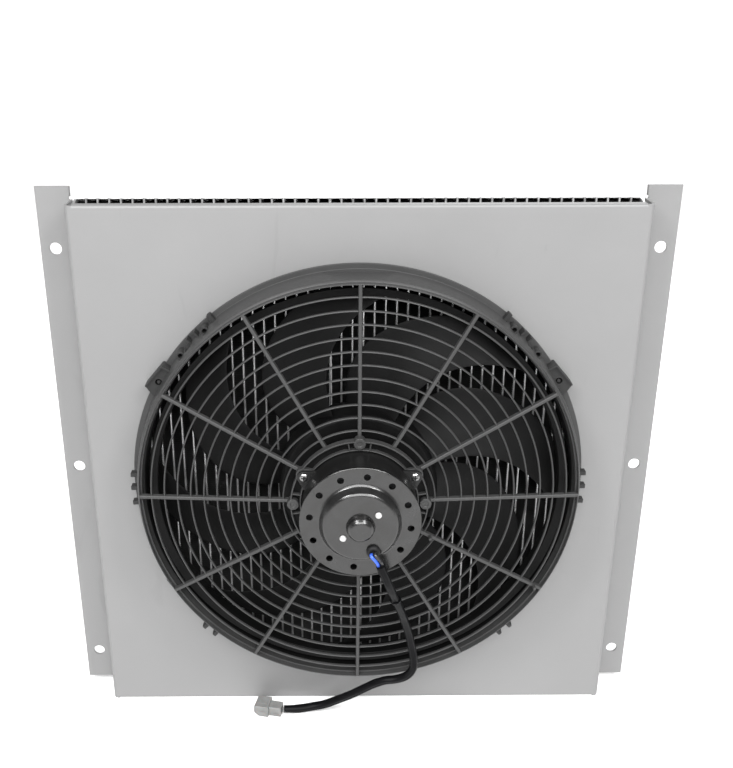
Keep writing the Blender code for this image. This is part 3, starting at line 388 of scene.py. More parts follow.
def built(verts, faces):
    """A clean, outward-facing bmesh from points and faces."""
    work = bmesh.new()
    points = [work.verts.new(v) for v in verts]
    for face in faces:
        work.faces.new([points[i] for i in face])
    bmesh.ops.remove_doubles(work, verts=work.verts, dist=1e-7)
    bmesh.ops.recalc_face_normals(work, faces=work.faces)
    return work


def mesh_of(work):
    mesh = bpy.data.meshes.new("mesh")
    work.to_mesh(mesh)
    work.free()
    return mesh


def rounded(points, radius, steps=3, closed=True):
    """The outline with each corner eased into a small curve."""
    eased = []
    last = len(points) - 1
    for i, point in enumerate(points):
        corner = Vector(point)
        if not closed and i in (0, last):
            eased.append(corner)
            continue
        before, after = Vector(points[i - 1]), Vector(points[(i + 1) % len(points)])
        reach = min(radius, (before - corner).length * 0.45, (after - corner).length * 0.45)
        start = corner + (before - corner).normalized() * reach
        end = corner + (after - corner).normalized() * reach
        for k in range(steps + 1):
            t = k / steps
            eased.append(start * (1 - t) ** 2 + corner * (2 * t * (1 - t)) + end * t ** 2)
    return eased


def lathe(profile, centre, axis="Y", steps=128, closed=True):
    """Mesh of an outline of (radius, distance along) turned about an axis through a centre."""
    count, verts, faces = len(profile), [], []
    for k in range(steps):
        turn = 2 * pi * k / steps
        for radius, along in profile:
            spot = laid(radius * cos(turn), radius * sin(turn), along, axis)
            verts.append(Vector(spot) + Vector(centre))
    for k in range(steps):
        here, there = k * count, (k + 1) % steps * count
        for i in range(count if closed else count - 1):
            j = (i + 1) % count
            faces.append((here + i, here + j, there + j, there + i))
    return mesh_of(built(verts, faces))


def prism(outline, low, high, axis="Z"):
    """Mesh of a flat outline pushed along an axis. The outline is (x, y), (x, z) or (y, z)."""
    count = len(outline)
    verts = [laid(*p, end, axis) for end in (low, high) for p in outline]
    faces = [tuple(range(count)), tuple(range(count, 2 * count))]
    faces += [(i, (i + 1) % count, (i + 1) % count + count, i + count) for i in range(count)]
    return mesh_of(built(verts, faces))


def cuboid(centre, size, ease=0.0, steps=2):
    """Mesh of a box about a point, its edges eased."""
    work = bmesh.new()
    bmesh.ops.create_cube(work, size=1.0)
    matrix = Matrix.Translation(centre) @ Matrix.Diagonal((*size, 1.0))
    bmesh.ops.transform(work, verts=work.verts, matrix=matrix)
    if ease:
        bmesh.ops.bevel(work, geom=work.edges, offset=ease, segments=steps, profile=0.5, affect="EDGES")
    return mesh_of(work)


def block(low, high, ease=0.0, steps=2):
    """Mesh of a box between two corners in (x, depth, z), its edges eased."""
    low, high = place(*low), place(*high)
    return cuboid((low + high) / 2, high - low, ease, steps)


def rod(centre, axis, radius, length, steps=48):
    """Mesh of a round bar about a point, used mostly to cut holes."""
    half = length / 2
    profile = [(0, -half), (radius, -half), (radius, half), (0, half)]
    return lathe(profile, centre, axis, steps, closed=False)


def circle(radius, count, squeeze=1.0):
    turns = [2 * pi * k / count for k in range(count)]
    return [(radius * cos(turn), radius * squeeze * sin(turn)) for turn in turns]


def arc(centre, radius, start, end, count):
    """Points from one angle to another, in degrees, both ends included."""
    turns = [radians(start + (end - start) * k / (count - 1)) for k in range(count)]
    return [(centre[0] + radius * cos(turn), centre[1] + radius * sin(turn)) for turn in turns]


def sweep(points, section, loop=False, up=Vector((0, 0, 1))):
    """Mesh of a section carried along points without twist. section(i) gives its (side, up) points."""
    count = len(points)
    verts, faces, side = [], [], None
    for i, point in enumerate(points):
        if loop:
            ahead = points[(i + 1) % count] - points[i - 1]
        else:
            ahead = points[min(i + 1, count - 1)] - points[max(i - 1, 0)]
        ahead = ahead.normalized()
        if side is None:
            side = ahead.cross(up if abs(ahead.dot(up)) < 0.95 else Vector((1, 0, 0)))
        side = (side - ahead * side.dot(ahead)).normalized()
        over = side.cross(ahead)
        verts += [point + side * a + over * b for a, b in section(i)]
    around = len(section(0))
    for i in range(count if loop else count - 1):
        here, there = i * around, (i + 1) % count * around
        for k in range(around):
            j = (k + 1) % around
            faces.append((here + k, here + j, there + j, there + k))
    if not loop:
        faces += [tuple(range(around)), tuple(range((count - 1) * around, count * around))]
    return mesh_of(built(verts, faces))


def joined(*meshes):
    """One mesh of several, which may pass through each other."""
    work = bmesh.new()
    for mesh in meshes:
        work.from_mesh(mesh)
        bpy.data.meshes.remove(mesh)
    return mesh_of(work)


def moved(mesh, matrix):
    mesh.transform(matrix)
    return mesh


def helper(mesh):
    """A passing object that holds a mesh while a modifier works on it."""
    obj = bpy.data.objects.new("helper", mesh)
    SCENE.collection.objects.link(obj)
    return obj


def result_of(body, *others):
    """What an object's modifiers make of its mesh; it and the others are removed."""
    bpy.context.view_layer.update()
    result = bpy.data.meshes.new_from_object(body.evaluated_get(bpy.context.evaluated_depsgraph_get()))
    for old in (body, *others):
        data = old.data
        bpy.data.objects.remove(old)
        bpy.data.meshes.remove(data)
    return result


def combined(mesh, tools, operation="DIFFERENCE"):
    """The mesh with others cut out of it or welded to it."""
    body = helper(mesh)
    others = [helper(tool) for tool in tools]
    for other in others:
        step = body.modifiers.new("cut", "BOOLEAN")
        step.operation = operation
        step.solver = "EXACT"
        step.object = other
    return result_of(body, *others)


def eased(mesh, width, steps=2, angle=38):
    """The mesh with its sharp edges rounded."""
    body = helper(mesh)
    step = body.modifiers.new("ease", "BEVEL")
    step.width = width
    step.segments = steps
    step.limit_method = "ANGLE"
    step.angle_limit = radians(angle)
    return result_of(body)


def turned(profile, centre, ease, axis="Y", steps=128, closed=True, corner=3):
    """Mesh of a turned shape whose profile has eased corners."""
    return lathe(rounded(profile, ease, corner, closed), centre, axis, steps, closed)


def show(name, mesh, slot, *stands_for, body="radiator", finish=None, sharp=32):
    """Show a mesh as a piece of the object, in place of the CAD nodes that it stands for."""
    mesh.name = name
    mesh.materials.clear()
    mesh.materials.append((finish or SLOT_FINISHES[slot]).material)
    mesh.polygons.foreach_set("use_smooth", [True] * len(mesh.polygons))
    mesh.polygons.foreach_set("material_index", [0] * len(mesh.polygons))
    mesh.set_sharp_from_angle(angle=radians(sharp))
    obj = bpy.data.objects.new(name, mesh)
    obj.modifiers.new("even_normals", "WEIGHTED_NORMAL").keep_sharp = True
    SCENE.collection.objects.link(obj)
    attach(obj, body)
    if stands_for:
        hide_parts(*stands_for)
    return obj


# ---------------------------------------------------------------- shroud

def shroud_outline():
    """Hat section seen from above, as one closed outline of (x, y)."""
    outer, inner = PANEL_W / 2, PANEL_W / 2 - SHEET
    small = BEND - SHEET
    half = [(FLANGE_X, WALL_DEPTH), (FLANGE_X, WALL_DEPTH - SHEET)]
    half += arc((outer + small, WALL_DEPTH - BEND), small, 90, 180, 8)
    half += arc((outer - BEND, BEND), BEND, 0, -90, 12)
    back = arc((inner - small, BEND), small, -90, 0, 8)
    back += arc((outer + small, WALL_DEPTH - BEND), BEND, 180, 90, 12)
    mirrored = [(-x, y) for x, y in reversed(half)]
    mirrored_back = [(-x, y) for x, y in reversed(back)]
    return [(x, FRONT_Y + y) for x, y in half + mirrored + mirrored_back + back]


def hem(edge, inward):
    """The panel's edge, bent backwards over a small radius into a short lip."""
    half = PANEL_W / 2 - HEM_END_GAP
    inner = HEM_BEND - SHEET
    outline = [(0.0, HEM_ROOT)]
    outline += [(HEM_BEND - x, HEM_BEND - y) for x, y in arc((0, 0), HEM_BEND, 0, 90, 8)]
    outline += [(HEM_DEPTH, 0.0), (HEM_DEPTH, SHEET)]
    outline += [(HEM_BEND - x, HEM_BEND - y) for x, y in arc((0, 0), inner, 90, 0, 6)]
    outline += [(SHEET, HEM_ROOT)]
    spots = [(FRONT_Y + depth, edge + inward * height) for depth, height in outline]
    return prism(spots, -half, half, "X")


def shroud():
    shell = prism(shroud_outline(), 0.0, FLANGE_TOP, "Z")
    inside, reach, corner = PANEL_W / 2 + 0.0002, 0.4, PANEL_W / 2 - HEM_END_GAP
    tools = [block((-inside, -0.01, PANEL_H), (inside, WALL_DEPTH + 0.01, 0.6))]
    for side in (-1, 1):
        low, high = sorted((side * inside, side * reach))
        tools.append(block((low, -0.01, -0.05), (high, WALL_DEPTH + 0.01, FLANGE_BOTTOM)))
        notch = place(side * (PANEL_W / 2 + 0.0005), WALL_DEPTH, PANEL_H + 0.0008)
        tools.append(rod(notch, "Y", 0.0016, 0.02, 24))
        for z in FLANGE_HOLE_Z:
            tools.append(rod(place(side * FLANGE_HOLE_X, WALL_DEPTH, z), "Y", FLANGE_HOLE_R, 0.02, 48))
    tools.append(rod(place(0, 0, FAN_Z), "Y", FAN_OPENING_R, 0.03, 192))
    shell = combined(shell, tools)
    shell = eased(shell, 0.0003)
    tools, hems = [], []
    for edge, inward in ((PANEL_H, -1), (0.0, 1)):
        low, high = sorted((edge - inward * 0.02, edge + inward * HEM_ROOT))
        tools.append(block((-corner, -0.01, low), (corner, SHEET + 0.0005, high)))
        hems.append(hem(edge, inward))
    shell = combined(shell, tools)
    show("shroud_sheet", joined(shell, *hems), "sheet_aluminium", "shroud_panel")


# ---------------------------------------------------------------- core

TUBE_X = [(n - (TUBES - 1) / 2) * TUBE_PITCH for n in range(TUBES)]


def core_top(depth):
    """Height of the core's sloping top at a depth."""
    return CORE_TOP - (depth - CORE_FRONT) * CORE_SLOPE


def flat_tubes():
    """Flat tubes with round noses, cut to the slope of the core's top."""
    nose = TUBE_T / 2
    section = arc((0, CORE_FRONT + nose), nose, 180, 360, 7) + arc((0, CORE_BACK - nose), nose, 0, 180, 7)
    count = len(section)
    tubes = []
    for x in TUBE_X:
        verts = [place(x + across, depth, CORE_BOTTOM) for across, depth in section]
        verts += [place(x + across, depth, core_top(depth)) for across, depth in section]
        faces = [tuple(range(count)), tuple(range(count, 2 * count))]
        faces += [(k, (k + 1) % count, (k + 1) % count + count, k + count) for k in range(count)]
        tubes.append(mesh_of(built(verts, faces)))
    show("flat_tubes", joined(*tubes), "core_aluminium", "tube_bank")


def fin_ribbons():
    """A folded fin ribbon in each gap between tubes, and outside the first and last."""
    work = bmesh.new()
    edges = [-CORE_HALF, *TUBE_X, CORE_HALF]
    front, back = CORE_FRONT + FIN_RECESS, CORE_BACK - FIN_RECESS
    folds = int((CORE_TOP - FIN_TOP_GAP - CORE_BOTTOM) / FIN_FOLD)
    for n, (low, high) in enumerate(zip(edges, edges[1:])):
        low += 0.0 if n == 0 else TUBE_T / 2
        high -= 0.0 if n == TUBES else TUBE_T / 2
        line = []
        sides = (low + FIN_SIDE_GAP, high - FIN_SIDE_GAP)
        for k in range(folds):
            for lift in (0.0, FIN_CREST):
                line.append((sides[k % 2], CORE_BOTTOM + k * FIN_FOLD + lift))
        line += [(sides[folds % 2], CORE_TOP), (sides[1 - folds % 2], CORE_TOP)]
        rows = []
        for depth in (front, back):
            limit = core_top(depth) - FIN_TOP_GAP
            rows.append([work.verts.new(place(x, depth, min(z, limit))) for x, z in line])
        for k in range(len(line) - 1):
            work.faces.new((rows[0][k], rows[0][k + 1], rows[1][k + 1], rows[1][k]))
    show("fin_ribbons", mesh_of(work), "fin_aluminium", "fin_pack")


# ---------------------------------------------------------------- tanks and fittings

def bead(points, radius, pitch, loop=False):
    """A weld bead: a half-buried rope of metal with a ripple every pitch."""
    total = sum((b - a).length for a, b in zip(points, points[1:]))
    count = max(12, ceil(total / pitch * 4))
    line = evenly(points, count)
    if loop:
        line = line[:-1]

    def section(i):
        swell = 1 + 0.16 * cos(i * pi / 2) + 0.10 * noise.noise(line[i] * 90)
        return circle(radius * swell, 8)
    return sweep(line, section, loop=loop)


def evenly(points, count):
    """Points at equal steps along a line of points."""
    lengths = [(b - a).length for a, b in zip(points, points[1:])]
    total, spots, at, passed = sum(lengths), [], 0, 0.0
    for k in range(count + 1):
        target = total * k / count
        while at < len(lengths) - 1 and passed + lengths[at] < target:
            passed += lengths[at]
            at += 1
        spots.append(points[at].lerp(points[at + 1], (target - passed) / lengths[at]))
    return spots


def ring_points(centre, axis, radius, count=96):
    """A closed circle of points about a centre; the last point repeats the first."""
    around = arc((0, 0), radius, 0, 360, count + 1)
    return [Vector(centre) + Vector(laid(a, b, 0, axis)) for a, b in around]


def tank(name, neck_x, openings):
    """Folded tank with soft corners and its header plate. It returns their weld beads."""
    low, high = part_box(f"{name}_tank")
    header_low, header_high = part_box(f"{name}_header")
    back, front = high.y - FRONT_Y, low.y - FRONT_Y
    neck_z = middle_of(f"{name}_tank").z
    shell = block((low.x, front - 0.02, low.z), (high.x, back, high.z), ease=0.0090, steps=7)
    hollow = block((low.x + TANK_WALL, front - 0.03, low.z + TANK_WALL),
                   (high.x - TANK_WALL, back - TANK_WALL, high.z - TANK_WALL), ease=0.0070, steps=4)
    face = block((low.x - 0.1, front - 0.05, low.z - 0.02), (high.x + 0.1, front, high.z + 0.02))
    hole = rod(place(neck_x, back, neck_z), "Y", NECK_BORE_R, 0.02, 64)
    shell = combined(shell, [face, hollow, hole, *openings])
    shell = eased(shell, 0.0002, angle=60)
    show(f"{name}_tank_shell", shell, "tank_aluminium", f"{name}_tank")
    plate = block((header_low.x, header_low.y - FRONT_Y, header_low.z),
                  (header_high.x, header_high.y - FRONT_Y, header_high.z), ease=0.0004)
    show(f"{name}_header_plate", plate, "tank_aluminium", f"{name}_header")
    seam_y = low.y + 0.0006
    left, right = low.x + BEAD_INSET, high.x - BEAD_INSET
    bottom, top = low.z + BEAD_INSET, high.z - BEAD_INSET
    outline = rounded([(left, bottom), (right, bottom), (right, top), (left, top)], 0.0100, 6)
    line = [Vector((x, seam_y, z)) for x, z in [*outline, outline[0]]]
    neck_line = ring_points((neck_x, high.y + 0.0010, neck_z), "Y", NECK_R + 0.0014)
    return [bead(line, 0.0011, 0.0030, loop=True), bead(neck_line, 0.0016, 0.0026, loop=True)]


def hose_neck(node, name):
    """A short pipe with a rolled hose bead at its end."""
    start, end = (corner.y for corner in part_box(node))
    bead_r = NECK_R + 0.0016
    profile = [(NECK_BORE_R, start), (NECK_R, start), (NECK_R, end - 0.0100), (bead_r, end - 0.0078),
               (bead_r, end - 0.0055), (NECK_R, end - 0.0030), (NECK_R - 0.0004, end), (NECK_BORE_R, end)]
    centre = middle_of(node)
    centre.y = 0.0
    pipe = turned(profile, centre, 0.0012, steps=96, corner=4)
    show(name, pipe, "tank_aluminium", node)


def filler_foot():
    """Middle of the filler neck's lower end."""
    foot = middle_of("filler_neck")
    foot.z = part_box("filler_neck")[0].z
    return foot


def filler():
    """Filler neck with its side nipple, and the ribbed quarter-turn cap with folded ears."""
    x, y, z = centre = filler_foot()
    profile = [(FILLER_BORE_R, 0.0), (0.0170, 0.0), (0.0170, 0.0105), (0.0235, 0.0107), (0.0235, 0.0125),
               (FILLER_BORE_R, 0.0125)]
    neck = turned(profile, centre, 0.0010, "Z", 96)
    show("filler_pipe", neck, "tank_aluminium", "filler_neck")
    tip, root = (corner.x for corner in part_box("overflow_nipple"))
    middle = middle_of("overflow_nipple")
    middle.x = 0.0
    profile = [(0.0018, root), (0.0030, root), (0.0030, tip + 0.0050), (0.0036, tip + 0.0030), (0.0028, tip),
               (0.0018, tip)]
    nipple = turned(profile, middle, 0.0006, "X", 48)
    show("overflow_pipe", nipple, "tank_aluminium", "overflow_nipple")

    low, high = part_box("cap_shell")
    top = high.z - z
    crown = [(0.0, top - 0.0050), (0.0100, top - 0.0050), (0.0100, 0.0131), (0.0238, 0.0131),
             (0.0238, 0.0092), (0.0255, 0.0092), (0.0255, 0.0152), (0.0243, 0.0168), (0.0150, 0.0168),
             (0.0132, top - 0.0004), (0.0100, top), (0.0, top)]
    shell = turned(crown, centre, 0.0007, "Z", 144, closed=False)
    grips = []
    for side in (-1, 1):
        left, right = sorted((x + side * 0.0185, x + side * (high.x - x)))
        depth = y - FRONT_Y
        grips.append(block((left, depth - 0.0060, z + 0.0146), (right, depth + 0.0060, z + 0.0166), 0.0006))
    for n in range(CAP_RIBS):
        turn = Matrix.Translation(centre) @ Matrix.Rotation(2 * pi * n / CAP_RIBS, 4, "Z")
        rib = moved(rod((0, 0, 0), "Z", 0.0005, 0.0044, 8), turn @ Matrix.Translation((0.0252, 0, 0.0118)))
        grips.append(rib)
    show("pressure_cap_shell", joined(shell, *grips), "bright_steel", "cap_shell", body="pressure_cap")


def drain():
    """Brass wing screw with a sealing ring."""
    low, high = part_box("drain_seal")
    x, _, z = middle_of("drain_seal")
    profile = [(DRAIN_BORE_R, low.y), (0.0085, low.y), (0.0085, high.y), (DRAIN_BORE_R, high.y)]
    seal = turned(profile, (x, 0, z), 0.0008, steps=64, corner=4)
    show("drain_ring", seal, "rubber", "drain_seal")
    low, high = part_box("drain_screw")
    base, notch = high.y - 0.0150, high.y - 0.0030
    profile = [(0.0, low.y), (0.0045, low.y), (0.0045, base), (0.0090, base), (0.0090, base + 0.0040),
               (0.0055, base + 0.0055), (0.0, base + 0.0060)]
    stem = turned(profile, (x, 0, z), 0.0006, steps=64, closed=False)
    half = [(0.0050, base + 0.0030), (0.0110, notch), (0.0090, high.y), (0.0030, notch)]
    outline = [(x - across, y) for across, y in half[:1]] + [(x + across, y) for across, y in half]
    outline += [(x - across, y) for across, y in reversed(half[1:])]
    wing = eased(prism(rounded(outline, 0.0018, 4), z - 0.0014, z + 0.0014, "Z"), 0.0005)
    show("drain_wing_screw", joined(stem, wing), "brass", "drain_screw", body="drain_cock")


# ---------------------------------------------------------------- fasteners

def screw(name, node, axis, outward, head_r, head_h, finish=None):
    """Pan-head screw with a cross recess, head towards outward (+1 or -1) along its axis."""
    low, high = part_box(node)
    middle = middle_of(node)
    index = "XYZ".index(axis)
    face = (high if outward > 0 else low)[index]
    tail = (low if outward > 0 else high)[index]
    shank = head_r * 0.48
    seat = face - outward * head_h
    profile = [(0.0, face), (head_r * 0.55, face - outward * head_h * 0.10),
               (head_r, face - outward * head_h * 0.62), (head_r, seat), (shank, seat), (shank, tail),
               (0.0, tail)]
    centre = middle.copy()
    centre[index] = 0.0
    head = turned(profile, centre, head_r * 0.16, axis, 40, closed=False)
    spot = middle.copy()
    spot[index] = face
    size = [head_r * 1.05] * 3
    size[index] = head_h * 1.1
    arms = []
    for other in {0, 1, 2} - {index}:
        thin = list(size)
        thin[other] = head_r * 0.26
        arms.append(cuboid(spot, thin))
    show(name, combined(head, arms), "bright_steel", node, finish=finish)


# ---------------------------------------------------------------- fan housing and guard

def spun(mesh, degrees):
    """A mesh drawn about the Y axis at 0 degrees, moved to the fan axis and turned."""
    return moved(mesh, Matrix.Translation((0, 0, FAN_Z)) @ Matrix.Rotation(-radians(degrees), 4, "Y"))


def radial_block(radius_from, radius_to, width, front, back, degrees, ease=0.0006):
    """A small moulded block that points outwards from the fan axis."""
    return spun(block((radius_from, front, -width / 2), (radius_to, back, width / 2), ease=ease), degrees)


def housing_ear(degrees):
    """Screw ear outside the barrel: a pointed one with a raised edge above, a low round one below."""
    upper = degrees < 180
    side = -1 if degrees < 90 else 1
    if upper:
        outline = [(0.1965, -4.8), (0.2085, -4.4), (0.2125, 2.4), (0.2050, 3.6), (0.1965, 4.4)]
    else:
        half = [(0.1965, 2.6), (0.2065, 1.8), (0.2085, 0.8)]
        outline = [(radius, -turn) for radius, turn in half] + half[::-1]
    points = [polar(radius, degrees + side * turn) for radius, turn in outline]
    plate = prism(rounded(points, 0.0012, 4), FRONT_Y - EAR_DEPTH, FRONT_Y - 0.0006, "Y")
    x, z = polar(EAR_R, degrees)
    plate = eased(combined(plate, [rod(place(x, -0.01, z), "Y", 0.0030, 0.03, 32)]), 0.0004)
    if not upper:
        return plate
    edge = ((0.1975, -4.7), (0.2083, -4.3), (0.2122, 2.2), (0.2112, 2.4), (0.2072, -3.9), (0.1975, -4.0))
    points = [polar(radius, degrees + side * turn) for radius, turn in edge]
    raised = eased(prism(points, FRONT_Y - EAR_DEPTH - 0.0028, FRONT_Y - EAR_DEPTH + 0.0005, "Y"), 0.0003)
    return joined(plate, raised)


def socket(degrees):
    """Small open socket beside the barrel's wall."""
    x, z = polar(SOCKET_R, degrees)
    ring = [(SOCKET_BORE_R, -0.0170), (0.0037, -0.0170), (0.0037, -0.0040), (SOCKET_BORE_R, -0.0040)]
    return turned(ring, place(x, 0, z), 0.0005, steps=40)


def fan_housing():
    """Moulded barrel: thin flared lip, waist with two shallow ribs, base flange and the moulded lugs."""
    front, centre = -HOUSING_DEPTH, place(0, 0, FAN_Z)
    profile = [(THROAT_R, -0.0003), (THROAT_R, -FLARE_DEPTH), (LIP_R, front), (0.1975, front),
               (0.1990, front + 0.0015), (0.1999, -0.0200), (0.1992, -0.0192), (0.2008, -0.0110),
               (0.2001, -0.0102), (0.2014, -0.0036), (HOUSING_R, -0.0036), (HOUSING_R, -0.0003)]
    barrel = turned(profile, centre, 0.0004, steps=256)
    tools = [block((-0.1, -0.05, FAN_Z + FLAT_RISE), (0.1, -0.0042, FAN_Z + 0.23))]
    for angle in SOCKET_ANGLES:
        x, z = polar(SOCKET_R, angle)
        tools.append(rod(place(x, -0.0155, z), "Y", SOCKET_BORE_R, 0.0170, 32))
    for angle in POCKET_ANGLES:
        tools.append(radial_block(0.1968, 0.2050, 0.0078, -0.0200, -0.0060, angle))
    barrel = combined(barrel, tools)
    extras = [housing_ear(angle) for angle in EAR_ANGLES]
    extras += [socket(angle) for angle in SOCKET_ANGLES]
    for angles, inner, outer, width, tip, root, ease in (
            (RIB_ANGLES, 0.1965, 0.2060, 0.0013, -0.0150, -0.0038, 0.0003),
            (TAB_ANGLES, 0.1970, 0.2085, 0.0040, -0.0110, -0.0038, 0.0006),
            (LUG_ANGLES, 0.1970, 0.2120, 0.0042, -0.0200, -0.0120, 0.0012),
            (SIDE_LUG_ANGLES, 0.1970, 0.2066, 0.0040, -0.0190, -0.0120, 0.0006)):
        extras += [radial_block(inner, outer, width, tip, root, angle, ease) for angle in angles]
    show("housing_moulding", barrel, "fan_plastic", "fan_housing")
    # The lugs take the darker copy of the barrel's plastic: painted shade.
    show("housing_lugs", joined(*extras), "fan_plastic", finish=LUG_SHADED_PLASTIC)
    # A thin near-black sheet laid over the inside of the throat, in the rotor's darker plastic: painted
    # shade for the shadowed inside of the deep barrel.
    skin, lip = 0.0001, front + 0.0016
    inside = [(THROAT_R - skin, -0.0006), (THROAT_R - skin, -FLARE_DEPTH), (LIP_R - skin, lip),
              (LIP_R + skin, lip), (THROAT_R + skin, -FLARE_DEPTH), (THROAT_R + skin, -0.0006)]
    show("housing_throat_painted_shade", lathe(inside, centre, "Y", 256), "fan_plastic", finish=ROTOR_PLASTIC)


def guard_depth(radius):
    """Depth of the guard's front at a radius: it stands out evenly from the rim to the hub."""
    return -GUARD_FRONT - GUARD_DISH * (RIM_R - radius) / (RIM_R - HUB_RING_R[1])


def spoke(degrees):
    """A tapering rib with a rounded front, from the hub ring to the rim."""
    half_w, half_h, steps = 0.0019, 0.0023, 24
    start, end = HUB_RING_R[1] - 0.003, RIM_R - 0.001
    line = []
    for k in range(steps + 1):
        radius = start + (end - start) * k / steps
        x, z = polar(radius, degrees)
        line.append(place(x, guard_depth(radius) + half_h, z))
    corners = [(-half_w * 0.8, -half_h), (half_w * 0.8, -half_h), (half_w, half_h), (-half_w, half_h)]
    outline = rounded(corners, 0.0009, 3)
    return sweep(line, lambda i: outline, up=Vector((0, 1, 0)))


def fan_guard():
    """Rim, concentric rings, twelve spokes and the hub ring, moulded in one."""
    centre = place(0, 0, FAN_Z)
    rim_back = -HOUSING_DEPTH - 0.0003
    rim = [(RIM_R - RIM_T, rim_back), (RIM_R - RIM_T + 0.0003, -GUARD_FRONT), (RIM_R - 0.0005, -GUARD_FRONT),
           (RIM_R, -HOUSING_DEPTH - 0.0016), (RIM_R, rim_back)]
    parts = [turned(rim, centre, 0.0005, steps=256)]
    for n in range(1, RINGS + 1):
        radius = RIM_R - RING_PITCH * n
        depth = guard_depth(radius) + RING_SETBACK
        section = [(radius + a, depth + b) for a, b in circle(0.0009, 12, squeeze=1.9)]
        parts.append(lathe(section, centre, "Y", 192))
    parts += [spoke(360 / SPOKES * n) for n in range(SPOKES)]
    inner, outer = HUB_RING_R
    floor, back = HUB_FRONT + 0.0050, HUB_FRONT + 0.0075
    hub = [(inner, back), (inner, HUB_FRONT + 0.0010), (inner + 0.0011, HUB_FRONT + 0.0010),
           (inner + 0.0013, floor), (outer - 0.0015, floor), (outer - 0.0013, HUB_FRONT), (outer, HUB_FRONT),
           (outer, back)]
    parts.append(turned(hub, centre, 0.0004, steps=160))
    # A thin near-black ring laid on the hub ring's recessed floor, in the rotor's darker plastic: painted
    # shade in the recess.
    left, right, skin = inner + 0.0014, outer - 0.0016, floor - 0.0001
    trough = [(left, skin), (right, skin), (right, skin + 0.0006), (left, skin + 0.0006)]
    show("hub_floor_painted_shade", lathe(trough, centre, "Y", 160), "fan_plastic", finish=ROTOR_PLASTIC)
    boss = [(0.0, -0.0021), (0.0022, -0.0021), (0.0026, -0.0025), (0.0052, -0.0025), (0.0052, 0.0065),
            (0.0, 0.0065)]
    for angle in (0, 90, 180):
        for turn in (-9.5, 9.5):
            parts.append(radial_block(inner + 0.0004, outer - 0.0004, 0.0012, HUB_FRONT + 0.0008,
                                      HUB_FRONT + 0.0060, angle + turn, ease=0.0003))
        x, z = polar(0.0585, angle)
        parts.append(turned(boss, place(x, HUB_FRONT + 0.0020, z), 0.0007, steps=40, closed=False))
    post = [(0.0, -0.0060), (0.0014, -0.0060), (0.0017, 0.0020), (0.0, 0.0020)]
    for radius in (0.0740, 0.1885):
        x, z = polar(radius, -30)
        parts.append(turned(post, place(x, guard_depth(radius), z), 0.0004, steps=24, closed=False))
    parts += [spun(hub_tab(), angle) for angle in MOUNT_ANGLES]
    show("guard_moulding", joined(*parts), "fan_plastic", "fan_guard")


def hub_tab():
    """Rounded seat under a motor screw, on the hub ring, drawn for the 0 degree place."""
    outline = [(0.0500, -0.0088), (0.0500, 0.0088)] + arc((MOUNT_R + 0.0006, 0.0), 0.0066, 70, -70, 12)
    plate = prism(outline, FRONT_Y + HUB_FRONT + 0.0006, FRONT_Y + HUB_FRONT + 0.0070, "Y")
    return eased(plate, 0.0006)


# ---------------------------------------------------------------- rotor

def blade(phase):
    """Curved blade with a thin rounded edge, swept clockwise towards its tip."""
    rows, columns = 26, 14
    sheets = []
    for face in (-1, 1):
        grid = []
        for i in range(rows + 1):
            radius = BLADE_ROOT_R + (BLADE_TIP_R - BLADE_ROOT_R) * i / rows
            s = (radius - BLADE_ROOT_R) / BLADE_SPAN
            middle = phase + 9.0 + 31.0 * s ** 2
            width = 35.0 - 13.0 * s ** 2
            rise = 0.0130 - 0.0045 * s
            for j in range(columns + 1):
                t = -cos(pi * j / columns)
                angle = radians(middle + width / 2 * t)
                depth = -0.0010 - rise * t + 0.0035 * (1 - t * t)
                depth += face * 0.0013 * sqrt(max(0.0, 1 - t ** 4))
                grid.append(place(radius * sin(angle), depth, FAN_Z + radius * cos(angle)))
        sheets.append(grid)
    verts = sheets[0] + sheets[1]
    offset, wide = len(sheets[0]), columns + 1
    faces = []
    for i in range(rows):
        for j in range(columns):
            quad = (i * wide + j, i * wide + j + 1, (i + 1) * wide + j + 1, (i + 1) * wide + j)
            faces += [quad, tuple(k + offset for k in quad)]
    return mesh_of(built(verts, faces))


def rotor():
    centre = place(0, 0, FAN_Z)
    inner, outer = ROTOR_RING_R
    profile = [(inner, -0.0180), (ROTOR_R, -0.0200), (ROTOR_R, -0.0175), (outer, -0.0165), (outer, -0.0030),
               (inner, -0.0030)]
    ring = turned(profile, centre, 0.0008, steps=224)
    wall = ROTOR_HUB_R - 0.0030
    profile = [(0.0043, -0.0170), (0.0120, -0.0200), (wall, -0.0200), (ROTOR_HUB_R, -0.0170),
               (ROTOR_HUB_R, 0.0160), (wall, 0.0160), (wall, -0.0160), (0.0130, -0.0160), (0.0110, 0.0040),
               (0.0043, 0.0040)]
    hub = turned(profile, centre, 0.0012)
    ribs = [radial_block(0.0110, wall + 0.0005, 0.0020, -0.0165, 0.0020, 360 / BLADES * n + 11)
            for n in range(BLADES)]
    blades = [blade(360 / BLADES * n) for n in range(BLADES)]
    whole = joined(ring, hub, *ribs, *blades)
    show("rotor_moulding", whole, "rotor_plastic", "rotor", body="fan_rotor")


# ---------------------------------------------------------------- motor

